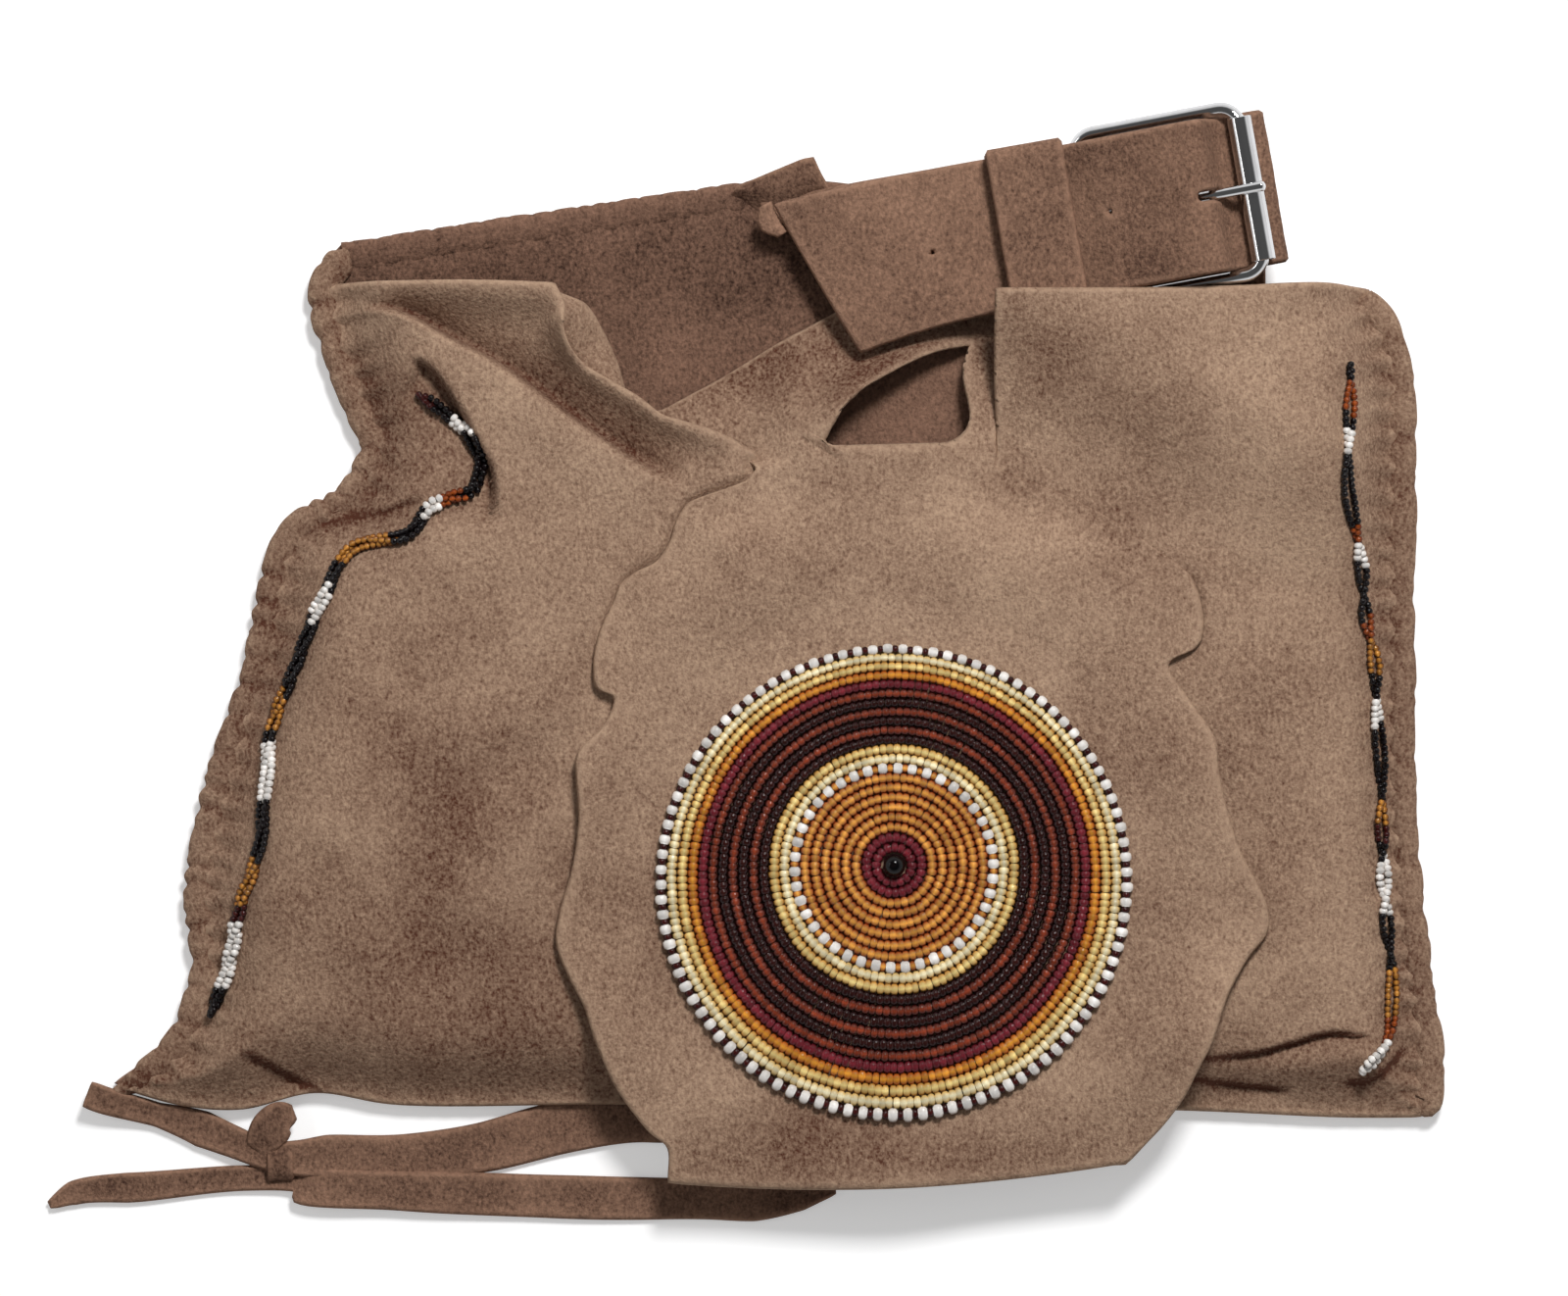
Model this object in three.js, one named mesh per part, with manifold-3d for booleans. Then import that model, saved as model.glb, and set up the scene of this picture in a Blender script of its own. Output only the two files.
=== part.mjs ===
// Suede crossbody bag lying on its back: +Z up, the front faces up, the mouth is at +Y.
// The origin is on the underside of the back panel, below the middle of the bead rosette.
// All sizes are in millimetres and degrees.
import * as THREE from 'three';
import { mergeVertices } from 'three/addons/utils/BufferGeometryUtils.js';
import Module from 'manifold-3d';

const wasm = await Module();
wasm.setup();

// Suede and clearances
const SUEDE = 1.8;
const SEAT = 0.3;
const BAG_DEPTH = 8.4;

// Fineness of round pieces, and a length that passes through any piece
const ROUND_SIDES = 20;
const BALL_SIDES = [12, 8];
const CUT_REACH = 50;

// Rolled seams and hem
const WELT_RADIUS = 2.2;
const HEM_RADIUS = 1.7;
const PUCKER_PITCH = 5.5;
const PUCKER_DEPTH = 0.45;
const WELT_SIDES = 5;
const CORNER_RELIEF = 9;
const EDGE_TUCK = 1.5;

// Front panel: heights above the plain front, and how far they reach
const SEAM_LIFT = 1;
const SEAM_REACH = 10;
const WING_RISE = 8.8;
const WING_START = 6;
const WING_REACH = 20;
const LEFT_BULGE = 3.5;
const RIDGE_RISE = 6.5;
const RIDGE_REACH = 9;
const VALLEY_DROP = 4.5;
const VALLEY_REACH = 8;
const LIP_RISE = 4;
const LIP_REACH = 10;
const FLAP_SHY = 12;
const FRONT_COLUMNS = 34;
const FRONT_ROWS = 22;
const NET_SAMPLES = 400;
const SIDEWAYS_PACE = 0.3;
const DIP_STEPS = 52;
const EDGE_ROOM = 0.6;

// Flap
const FLAP_COLUMNS = 16;
const FLAP_SAG = 3;
const FLAP_SAG_ROWS = 4;
const FLAP_LIFT = 2;
const FLAP_WAVES = 7;
const FLAP_FLAT_RADIUS = 54;
const FLAP_CURL_REACH = 14;
const NECK_BEND_START = 80;
const NECK_BEND_END = 112;

// Bead rosette and bead strings
const FIRST_RING_RADIUS = 3.69;
const RING_PITCH = 2.137;
const RING_LEAST_SIDES = 12;
const RING_SIDE_LENGTH = 2;
const BEAD_HEIGHT = 1.9;
const BEAD_CROWN = 0.5;
const CENTER_BEAD_RADIUS = 2.4;
const STRING_WIDTH = 3.2;
const STRING_STEP = 2.4;
const STRING_SEAT = 0.6;

// Strap and buckle, in the strap's own frame: x along the strap, y across it, z up
const STRAP_WIDTH = 31;
const STRAP_ANGLE = 10;
const STRAP_PLACE = [40.2, 134.8];
const BUCKLE_RUN = [[-66, 0, 18.5], [-59, 0, 18.5], [-52, 0.57, 12.5], [-45, 1, 0], [-14, 1, 0]];
const BUCKLE_RETURN = -22;
const WRAP_TURN = [100, -90];
const HUB_SLOT_START = -7;
const TIP_RUN = [[-57.5, -1.5], [-50, -0.4], [-42, 0], [-32, 0], [-20, 0], [-14, 0]];
const TIP_OVER_PRONG = [[4, 4.7], [8, 8.7], [12, 12], [15.5, 15], [18.5, 16.2], [22, 13.5]];
const TIP_TO_ROLLER = [[26, 2.2], [30, 0.4], [34, 0]];
const TIP_UNDER = [[22, 0.4], [16, 0], [7, 0]];
const TIP_FOLD_TURN = [90, -100];
const TIP_FOLD_END = [30, -6];
const TIP_SLANT = -0.4;
const TIP_BEND = 0.0034;
const TIP_BEND_START = -20;
const KEEPER_WIDTH = 15;
const KEEPER_PLACE = -10.5;
const KEEPER_ROOM = 0.4;
const WIRE_DIAMETER = 3;
const WIRE_SIDES = 10;
const FRAME_LENGTH = 34.6;
const FRAME_SIDE_ROOM = 0.5;
const FRAME_CORNER = 2.2;
const FRAME_CORNER_STEPS = 4;
const FRAME_TILT = 16;
const ROLLER_DIAMETER = 5.1;
const ROLLER_END_ROOM = 0.3;
const PRONG_DIAMETER = 2.2;
const PRONG_HUB_WALL = 1.4;
const PRONG_HUB_WIDTH = 3;
const PRONG_OVERHANG = 2;
const PRONG_SLOT = [10.5, 27.5];
const PRONG_SLOT_ROOM = 0.5;
const FOLDED_PLACE = 62;
const FOLDED_BOTTOM = -28;
const FOLDED_TURN = 105;
const FOLDED_START = 139;

// Suede ties
const THONG_WIDTH = 7.8;
const KNOT_SIZE = [13.2, 9, 5.2];
const KNOT_PLACE = [-126.5, -64.5];

// Heights that follow from the layers
const BACK_TOP = SUEDE;
const FRONT_TOP = BACK_TOP + BAG_DEPTH + SUEDE;
const FLAP_UNDER = FRONT_TOP + SEAT;
const ROSETTE_BASE = FLAP_UNDER + SUEDE + SEAT;
const SEAM_TOP = BACK_TOP + SEAT + SUEDE + SEAM_LIFT;
const WRAP_INNER = WIRE_DIAMETER / 2 + SEAT;
const WRAP_OUTER = WRAP_INNER + SUEDE;
const HEEL_HEIGHT = BACK_TOP + 2 * (SEAT + SUEDE) + 3 * SEAT + WRAP_OUTER;

// Outer edge of the bag, counter-clockwise, so that the bag lies on the left of each line
const HEM_LINE = [[-24, 144.5], [-46, 141], [-72, 137.2], [-98, 133.2], [-110, 131.2]];
const LEFT_LINE = [
  [-117, 130.4], [-122.6, 122], [-121.7, 112.3], [-116.4, 97], [-112.3, 88], [-116.4, 79.5],
  [-126, 74], [-131.5, 66], [-136.7, 42], [-143.5, 22], [-149, -4], [-148, -24], [-153.1, -36.5],
  [-166.4, -46.7],
];
const BOTTOM_LINE = [
  [-166.4, -46.7], [-148, -51.4], [-136, -52], [-121, -48.6], [-104, -51], [-58, -50.9], [0, -51.5],
  [59, -52], [95, -53.5], [112.5, -53.5],
];
const RIGHT_LINE = [
  [114.8, -51], [115.6, -40], [112.6, -18], [110, 10], [109.6, 60], [109.6, 98], [107.2, 112],
  [98, 120.6],
];
const BACK_TOP_RIGHT = [[96, 122], [70, 128], [40, 134], [5, 140]];

// Top edge of the front panel between the side seams, and the dip of the mouth that is cut from it
const TOP_LINE = [[-106, 121.5], [-88, 121.6], [-60, 120.6], [-20, 120], [51, 119.8], [80, 120.6]];
const DIP_LINE = [
  [-71, 130], [-70, 118.8], [-68, 108.4], [-57.5, 100.2], [-50.8, 93], [-37.5, 89], [-32, 84],
  [-28, 78.2], [-8, 77.4], [10, 78], [19.4, 80], [21.6, 86], [21.4, 103], [21.6, 130],
];
const RIDGE_LINE = [[-109, 114], [-88.5, 106.6], [-68, 93.4], [-55.7, 85], [-42.6, 76]];
const VALLEY_LINE = [[-114, 86.5], [-98, 84], [-86, 76], [-78, 66]];
const SHOULDER_LINE = [[59.6, 62.3], [20.6, 82]];
const LIP_LINE = [[-100, 118.5], [-82, 118], [-70, 113]];
const LEFT_BULGE_PLACE = [-105, 5];
const LEFT_BULGE_REACH = [38, 55];

// Flap edges from the bottom up; a row of the flap runs from each left point to its right point
const FLAP_LEFT = [
  [-46.7, -65.8], [-46.7, -59.2], [-51, -55.1], [-57.2, -46.7], [-61.5, -37.3], [-64.1, -29.5],
  [-67.6, -22.7], [-69.9, -16.4], [-69.3, -10], [-66.6, -0.6], [-65.2, 9.8], [-65.8, 19.1],
  [-65.2, 23.8], [-59.8, 29.5], [-58, 34.8], [-61.7, 37.3], [-62.1, 43.4], [-60.7, 49.2],
  [-58, 55.1], [-56.6, 58.6], [-53.1, 61.3], [-49, 63.5], [-46.3, 67.4], [-45.1, 71.5],
  [-42.8, 75.2], [-40, 76.8], [-32.6, 79.3], [-28.4, 80.6], [-28.2, 86], [-34.4, 91.4],
  [-42.5, 96], [-33, 103.1], [-24, 108.2], [-15, 112.7], [-6, 118.5], [2, 126],
];
const FLAP_RIGHT = [
  [48.2, -61.9], [54.9, -55.1], [59.6, -48.8], [62.5, -43], [65.4, -37.3], [67.3, -32],
  [69.1, -26.8], [73.2, -19.5], [77.5, -13.7], [76.8, -7], [71.7, 2.9], [69.1, 10.9],
  [67.2, 19.1], [66.4, 26.4], [61.5, 34], [56.8, 41.6], [62.5, 45.3], [64.1, 49],
  [63.7, 54.5], [61.7, 60], [59.6, 62.3], [54, 66.4], [48.8, 70.1], [42, 74],
  [35.5, 77.2], [29, 79.8], [24.5, 81], [20.6, 82], [20, 86.4], [20, 91],
  [20.3, 96], [20.5, 101.5], [21.2, 106.5], [23, 111.5], [26.5, 117.5], [30, 124],
];
const HAND_HOLE_BASE = [[-15.8, 87.3], [12.5, 87.9]];
const HAND_HOLE_RIGHT = [[16.4, 92.4], [15.8, 97], [14.8, 103], [16.2, 109]];
const HAND_HOLE_ARC = [[9.2, 107.6], [0.2, 103.5], [-9.6, 97.1]];

// Middle lines of the bead strings and of the ties on the surface that they lie on
const STRING_LEFT = [
  [-99.8, 98.6], [-92, 93.5], [-86.8, 86], [-88, 79], [-96, 75.5], [-102, 68.5], [-113, 66.4],
  [-119.5, 56], [-125, 41], [-130.5, 28], [-131.5, 14], [-132.4, 3], [-137, -9], [-140, -24],
  [-143, -32],
];
const STRING_RIGHT = [
  [95, 105], [94.8, 92], [95, 79], [97, 67], [98.8, 52], [101, 43], [101.2, 31], [102.2, 16],
  [102.8, 0], [103, -12], [104.6, -26], [103.4, -37], [97.5, -43.5],
];
const THONG_CORNER = [[-163, -51.8, 4.2], [-154, -55.6, 3.6], [-144, -59.2, 3.2], [-133.4, -61.8, 3.2]];
const THONG_RIGHT_TAIL = [
  [-119.6, -66.8, 3.2], [-104, -68.6, 3.2], [-90, -69.6, 2.6], [-76, -70, 1.1], [-43, -70.4, 1.1],
  [-27, -70.6, 1.1], [-12.7, -68.4, 1.1],
];
const THONG_FLAP_SIDE = [
  [-47.5, -55.3, 1.1], [-62, -56.8, 1.1], [-76, -58.8, 1.1], [-90, -60.8, 1.1], [-105, -62.4, 1.1],
  [-119.6, -63, 1.1],
];
const THONG_LEFT_TAIL = [
  [-133.4, -66.6, 1.1], [-142, -66.4, 1.1], [-156, -67.6, 1.1], [-168, -69.7, 1.1], [-176.6, -71.7, 1.1],
];

// Finishes
const suede = (shade) => new THREE.MeshStandardMaterial({ color: shade, roughness: 0.95, metalness: 0 });
const chrome = () => new THREE.MeshStandardMaterial({ color: 0xd0d2d6, roughness: 0.15, metalness: 1 });
const glass = (shade) => new THREE.MeshStandardMaterial({ color: shade, roughness: 0.2, metalness: 0 });
const BAG_SUEDE = 0x8a6c58;
const STRAP_SUEDE = 0x7c6050;
const BLACK = 0x141012;
const WINE = 0x4a1420;
const AMBER = 0xa8641c;
const WHITE = 0xf0ece4;
const GOLD = 0xd2b25a;
const DARK = 0x32140f;
const RING_SHADES = [
  WINE, WINE, AMBER, AMBER, AMBER, AMBER, AMBER, AMBER, WHITE, GOLD, GOLD,
  DARK, DARK, DARK, DARK, DARK, DARK, WINE, AMBER, GOLD, GOLD, WHITE,
];

const bag = new THREE.Group();

function addPiece(parent, name, geometry, material) {
  const mesh = new THREE.Mesh(geometry, material);
  mesh.name = name;
  parent.add(mesh);
  return mesh;
}

function smooth(value) {
  const t = THREE.MathUtils.clamp(value, 0, 1);
  return t * t * (3 - 2 * t);
}

function curveThrough(points) {
  const corners = points.map(([x, y, z = 0]) => new THREE.Vector3(x, y, z));
  return new THREE.CatmullRomCurve3(corners, false, 'centripetal');
}

// Moves each point of a line to its left, square to the line there
function inset(points, distance) {
  return points.map(([x, y], i) => {
    const before = points[Math.max(i - 1, 0)];
    const after = points[Math.min(i + 1, points.length - 1)];
    const along = new THREE.Vector2(after[0] - before[0], after[1] - before[1]).normalize();
    return [x - along.y * distance, y + along.x * distance];
  });
}

// Point where the line through a and b crosses the line through c and d
function crossing(a, b, c, d) {
  const ab = [b[0] - a[0], b[1] - a[1]];
  const cd = [d[0] - c[0], d[1] - c[1]];
  const scale = ab[0] * cd[1] - ab[1] * cd[0];
  const t = ((c[0] - a[0]) * cd[1] - (c[1] - a[1]) * cd[0]) / scale;
  return [a[0] + ab[0] * t, a[1] + ab[1] * t];
}

function distanceToLine(x, y, line) {
  let nearest = Infinity;
  for (let i = 0; i + 1 < line.length; i++) {
    const [ax, ay] = line[i];
    const dx = line[i + 1][0] - ax;
    const dy = line[i + 1][1] - ay;
    const t = THREE.MathUtils.clamp(((x - ax) * dx + (y - ay) * dy) / (dx * dx + dy * dy), 0, 1);
    nearest = Math.min(nearest, Math.hypot(x - ax - t * dx, y - ay - t * dy));
  }
  return nearest;
}

function insideOutline(x, y, outline) {
  let inside = false;
  outline.forEach(([ax, ay], i) => {
    const [bx, by] = outline[(i + 1) % outline.length];
    if ((ay > y) !== (by > y) && x < ((bx - ax) * (y - ay)) / (by - ay) + ax) {
      inside = !inside;
    }
  });
  return inside;
}

// Turns a closed mesh so that its faces point outwards
function solidFrom(vertices, index) {
  let volume = 0;
  for (let i = 0; i < index.length; i += 3) {
    const [a, b, c] = [vertices[index[i]], vertices[index[i + 1]], vertices[index[i + 2]]];
    volume += a.dot(b.clone().cross(c));
  }
  const faces = volume < 0 ? index.reverse() : index;
  const geometry = new THREE.BufferGeometry().setFromPoints(vertices);
  geometry.setIndex(faces);
  return geometry;
}

// Skin over rings of points, with flat ends or closed on itself
function loft(rings, closed = false) {
  const count = rings[0].length;
  const index = [];
  const spans = closed ? rings.length : rings.length - 1;
  for (let i = 0; i < spans; i++) {
    const here = i * count;
    const next = ((i + 1) % rings.length) * count;
    for (let j = 0; j < count; j++) {
      const k = (j + 1) % count;
      index.push(here + j, here + k, next + k, here + j, next + k, next + j);
    }
  }
  if (!closed) {
    const last = (rings.length - 1) * count;
    for (let j = 1; j + 1 < count; j++) {
      index.push(0, j + 1, j, last, last + j, last + j + 1);
    }
  }
  return solidFrom(rings.flat(), index);
}

// Sheet of even thickness below a grid of surface points
function sheet(grid, thickness) {
  const rows = grid.length;
  const columns = grid[0].length;
  const upper = grid.flat();
  const lower = upper.map((p) => new THREE.Vector3(p.x, p.y, p.z - thickness));
  const at = (row, column) => row * columns + column;
  const below = upper.length;
  const index = [];
  for (let i = 0; i + 1 < rows; i++) {
    for (let j = 0; j + 1 < columns; j++) {
      const [a, b, c, d] = [at(i, j), at(i, j + 1), at(i + 1, j + 1), at(i + 1, j)];
      index.push(a, b, c, a, c, d);
      index.push(below + a, below + c, below + b, below + a, below + d, below + c);
    }
  }
  const rim = [];
  for (let j = 0; j + 1 < columns; j++) rim.push(at(0, j));
  for (let i = 0; i + 1 < rows; i++) rim.push(at(i, columns - 1));
  for (let j = columns - 1; j > 0; j--) rim.push(at(rows - 1, j));
  for (let i = rows - 1; i > 0; i--) rim.push(at(i, 0));
  rim.forEach((a, i) => {
    const b = rim[(i + 1) % rim.length];
    index.push(a, below + a, below + b, a, below + b, b);
  });
  return solidFrom([...upper, ...lower], index);
}

function toManifold(geometry) {
  const bare = geometry.clone();
  bare.deleteAttribute('normal');
  bare.deleteAttribute('uv');
  const merged = mergeVertices(bare, 1e-4);
  return new wasm.Manifold(new wasm.Mesh({
    numProp: 3,
    vertProperties: new Float32Array(merged.attributes.position.array),
    triVerts: new Uint32Array(merged.index.array),
  }));
}

function toGeometry(solid) {
  const mesh = solid.getMesh();
  const geometry = new THREE.BufferGeometry();
  geometry.setAttribute('position', new THREE.BufferAttribute(mesh.vertProperties, 3));
  geometry.setIndex(new THREE.BufferAttribute(mesh.triVerts, 1));
  return geometry;
}

// Box from its two corners
function boxBetween(low, high) {
  const size = high.map((value, i) => value - low[i]);
  const box = new THREE.BoxGeometry(...size);
  return box.translate(...low.map((value, i) => value + size[i] / 2));
}

// Left, bottom and right edges of a panel that stops short of the bag's outer edge, with shared corners
function panelSides(distance) {
  const [left, bottom, right] = [LEFT_LINE, BOTTOM_LINE, RIGHT_LINE].map((line) => inset(line, distance));
  const cornerLeft = crossing(left.at(-2), left.at(-1), bottom[0], bottom[1]);
  const cornerRight = crossing(bottom.at(-2), bottom.at(-1), right[0], right[1]);
  left.splice(-1, 1, cornerLeft);
  bottom.splice(0, 1, cornerLeft);
  bottom.splice(-1, 1, cornerRight);
  right.splice(0, 1, cornerRight);
  return [left, bottom, right];
}

// Back panel, tucked a little under the seam all round
function backPanel() {
  const [left, bottom, right] = panelSides(EDGE_TUCK);
  const sides = [...left, ...bottom.slice(1), ...right.slice(1)];
  const edge = [...inset(HEM_LINE, EDGE_TUCK), ...sides, ...BACK_TOP_RIGHT];
  const outline = new THREE.Shape(edge.map(([x, y]) => new THREE.Vector2(x, y)));
  return new THREE.ExtrudeGeometry(outline, { depth: SUEDE, bevelEnabled: false });
}

// Gathered roll of suede along a seam, seated on the back panel
function gatheredRoll(line, radius, startRelief, endRelief) {
  const path = curveThrough(inset(line, radius + PUCKER_DEPTH / 2));
  const length = path.getLength();
  const steps = 2 * Math.round((length - startRelief - endRelief) / PUCKER_PITCH);
  const height = BACK_TOP + SEAT + radius * Math.cos(Math.PI / WELT_SIDES);
  const rings = [];
  for (let i = 0; i <= steps; i++) {
    const along = (startRelief + ((length - startRelief - endRelief) * i) / steps) / length;
    const middle = path.getPointAt(along);
    const tangent = path.getTangentAt(along);
    const size = radius - (i % 2) * PUCKER_DEPTH;
    rings.push(Array.from({ length: WELT_SIDES }, (_, j) => {
      const turn = Math.PI / 2 + (2 * Math.PI * j) / WELT_SIDES;
      const across = size * Math.cos(turn);
      const up = height + size * Math.sin(turn);
      return new THREE.Vector3(middle.x - tangent.y * across, middle.y + tangent.x * across, up);
    }));
  }
  return loft(rings);
}

// Edges of the front panel, just inside the seam rolls
const FRONT_INSET = 2 * WELT_RADIUS + PUCKER_DEPTH + EDGE_ROOM;
const [leftEdge, bottomEdge, rightEdge] = panelSides(FRONT_INSET);
leftEdge.reverse();
const topEdge = [leftEdge.at(-1), ...TOP_LINE, rightEdge.at(-1)];
const flapOutline = [...FLAP_LEFT, ...FLAP_RIGHT.slice().reverse()];

// Height of the front panel's outer face
function frontHeight(x, y) {
  const seam = Math.min(...[leftEdge, bottomEdge, rightEdge].map((line) => distanceToLine(x, y, line)));
  const closedFlap = [...flapOutline, flapOutline[0]];
  const clear = insideOutline(x, y, flapOutline) ? 0 : distanceToLine(x, y, closedFlap);
  const [[ax, ay], [bx, by]] = SHOULDER_LINE;
  const shoulder = ((x - bx) * (by - ay) + (y - by) * (ax - bx)) / Math.hypot(ax - bx, by - ay);
  const wing = WING_RISE * smooth((shoulder - WING_START) / WING_REACH);
  const ridge = RIDGE_RISE * Math.exp(-((distanceToLine(x, y, RIDGE_LINE) / RIDGE_REACH) ** 2));
  const valley = VALLEY_DROP * Math.exp(-((distanceToLine(x, y, VALLEY_LINE) / VALLEY_REACH) ** 2));
  const lip = LIP_RISE * Math.exp(-((distanceToLine(x, y, LIP_LINE) / LIP_REACH) ** 2));
  const across = (x - LEFT_BULGE_PLACE[0]) / LEFT_BULGE_REACH[0];
  const up = (y - LEFT_BULGE_PLACE[1]) / LEFT_BULGE_REACH[1];
  const bulge = LEFT_BULGE * Math.exp(-across * across - up * up);
  const full = FRONT_TOP + wing + (ridge + lip + bulge - valley) * smooth(clear / FLAP_SHY);
  return SEAM_TOP + (full - SEAM_TOP) * (1 - Math.exp(-((seam / SEAM_REACH) ** 2)));
}

// Walk along a curve at an even pace, counting steps across the given direction at a lower rate
function pacedCurve(points, weightX, weightY) {
  const samples = curveThrough(points).getSpacedPoints(NET_SAMPLES);
  const travel = [0];
  samples.slice(1).forEach((point, i) => {
    const step = Math.hypot(weightX * (point.x - samples[i].x), weightY * (point.y - samples[i].y));
    travel.push(travel[i] + step);
  });
  return (share) => {
    const goal = share * travel.at(-1);
    const next = Math.max(1, travel.findIndex((value) => value >= goal - 1e-9));
    const part = (goal - travel[next - 1]) / (travel[next] - travel[next - 1]);
    return samples[next - 1].clone().lerp(samples[next], part);
  };
}

// Front panel: a net stretched between its four edges and raised to its height, less the mouth's dip
function frontPanel() {
  const [left, right] = [leftEdge, rightEdge].map((line) => pacedCurve(line, SIDEWAYS_PACE, 1));
  const [bottom, top] = [bottomEdge, topEdge].map((line) => pacedCurve(line, 1, SIDEWAYS_PACE));
  const grid = [];
  for (let i = 0; i <= FRONT_ROWS; i++) {
    const v = i / FRONT_ROWS;
    const row = [];
    for (let j = 0; j <= FRONT_COLUMNS; j++) {
      const u = j / FRONT_COLUMNS;
      const point = new THREE.Vector3();
      point.addScaledVector(bottom(u), 1 - v).addScaledVector(top(u), v);
      point.addScaledVector(left(v), 1 - u).addScaledVector(right(v), u);
      point.addScaledVector(bottom(0), -(1 - u) * (1 - v)).addScaledVector(top(0), -(1 - u) * v);
      point.addScaledVector(bottom(1), -u * (1 - v)).addScaledVector(top(1), -u * v);
      row.push(new THREE.Vector3(point.x, point.y, frontHeight(point.x, point.y)));
    }
    grid.push(row);
  }
  const dip = new THREE.Shape(curveThrough(DIP_LINE).getPoints(DIP_STEPS));
  const cutter = new THREE.ExtrudeGeometry(dip, { depth: CUT_REACH, bevelEnabled: false });
  return toGeometry(toManifold(sheet(grid, SUEDE)).subtract(toManifold(cutter)));
}

// Height of the flap's outer face: flat under the rosette, curling at the rim, sloping down the neck
function flapHeight(x, y) {
  const neck = smooth((y - NECK_BEND_START) / (NECK_BEND_END - NECK_BEND_START));
  const base = THREE.MathUtils.lerp(FLAP_UNDER, BACK_TOP + SEAT, neck);
  const rim = smooth((Math.hypot(x, y) - FLAP_FLAT_RADIUS) / FLAP_CURL_REACH);
  const wave = 0.5 + 0.5 * Math.sin(FLAP_WAVES * Math.atan2(y, x));
  const below = smooth((NECK_BEND_START - y) / FLAP_CURL_REACH);
  return base + FLAP_LIFT * rim * wave * below + SUEDE;
}

// Flap with its neck, cut through by the hand hole
function flap() {
  const grid = FLAP_LEFT.map(([lx, ly], i) => {
    const [rx, ry] = FLAP_RIGHT[i];
    const sag = FLAP_SAG * Math.max(0, 1 - i / FLAP_SAG_ROWS);
    return Array.from({ length: FLAP_COLUMNS + 1 }, (_, j) => {
      const t = j / FLAP_COLUMNS;
      const x = THREE.MathUtils.lerp(lx, rx, t);
      const y = THREE.MathUtils.lerp(ly, ry, t) - sag * 4 * t * (1 - t);
      return new THREE.Vector3(x, y, flapHeight(x, y));
    });
  });
  const hole = new THREE.Shape();
  hole.moveTo(...HAND_HOLE_BASE[0]);
  hole.lineTo(...HAND_HOLE_BASE[1]);
  hole.splineThru(HAND_HOLE_RIGHT.map((p) => new THREE.Vector2(...p)));
  hole.splineThru([...HAND_HOLE_ARC, HAND_HOLE_BASE[0]].map((p) => new THREE.Vector2(...p)));
  const options = { depth: CUT_REACH, bevelEnabled: false, curveSegments: 4 };
  const cutter = new THREE.ExtrudeGeometry(hole, options);
  return toGeometry(toManifold(sheet(grid, SUEDE)).subtract(toManifold(cutter)));
}

// Ring of seed beads, drawn as one low ridge
function beadRing(radius) {
  const half = (RING_PITCH - SEAT) / 2;
  const crown = half * BEAD_CROWN;
  const profile = [[-half, 0], [half, 0], [crown, BEAD_HEIGHT], [-crown, BEAD_HEIGHT], [-half, 0]];
  const points = profile.map(([across, up]) => new THREE.Vector2(radius + across, up));
  const segments = RING_LEAST_SIDES + Math.round(radius / RING_SIDE_LENGTH);
  return new THREE.LatheGeometry(points, segments).rotateX(Math.PI / 2).translate(0, 0, ROSETTE_BASE);
}

// String of beads that follows the face of the panel below it
function beadString(line, panel) {
  const path = curveThrough(line);
  const steps = Math.round(path.getLength() / STRING_STEP);
  const ray = new THREE.Raycaster();
  const down = new THREE.Vector3(0, 0, -1);
  const faceAt = (x, y) => {
    ray.set(new THREE.Vector3(x, y, CUT_REACH), down);
    return ray.intersectObject(panel)[0].point.z;
  };
  const half = STRING_WIDTH / 2;
  const crown = half * BEAD_CROWN;
  const profile = [[-half, 0], [half, 0], [crown, BEAD_HEIGHT], [-crown, BEAD_HEIGHT]];
  const reach = [-STRING_STEP / 2, 0, STRING_STEP / 2];
  const rings = [];
  for (let i = 0; i <= steps; i++) {
    const middle = path.getPointAt(i / steps);
    const tangent = path.getTangentAt(i / steps);
    rings.push(profile.map(([across, up]) => {
      const x = middle.x - tangent.y * across;
      const y = middle.y + tangent.x * across;
      const faces = reach.map((step) => faceAt(x + tangent.x * step, y + tangent.y * step));
      return new THREE.Vector3(x, y, Math.max(...faces) + STRING_SEAT + up);
    }));
  }
  return loft(rings);
}

// Flat strap along stations of distance, height and the two edges across
function strapAlong(stations, thickness, slant = 0) {
  const rings = stations.map(([along, height, low, high], i) => {
    const before = stations[Math.max(i - 1, 0)];
    const after = stations[Math.min(i + 1, stations.length - 1)];
    const way = new THREE.Vector2(after[0] - before[0], after[1] - before[1]).normalize();
    const half = thickness / 2;
    const corner = (side, face) => {
      const lean = i === 0 ? slant * side : 0;
      return new THREE.Vector3(along + lean - way.y * face, side, height + way.x * face);
    };
    return [corner(low, -half), corner(high, -half), corner(high, half), corner(low, half)];
  });
  return loft(rings);
}

// Points on an arc in the plane of a strap's length and height
function arc(centreAlong, centreHeight, radius, from, to, steps) {
  return Array.from({ length: steps + 1 }, (_, i) => {
    const turn = THREE.MathUtils.degToRad(THREE.MathUtils.lerp(from, to, i / steps));
    return [centreAlong + radius * Math.cos(turn), centreHeight + radius * Math.sin(turn)];
  });
}

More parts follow.
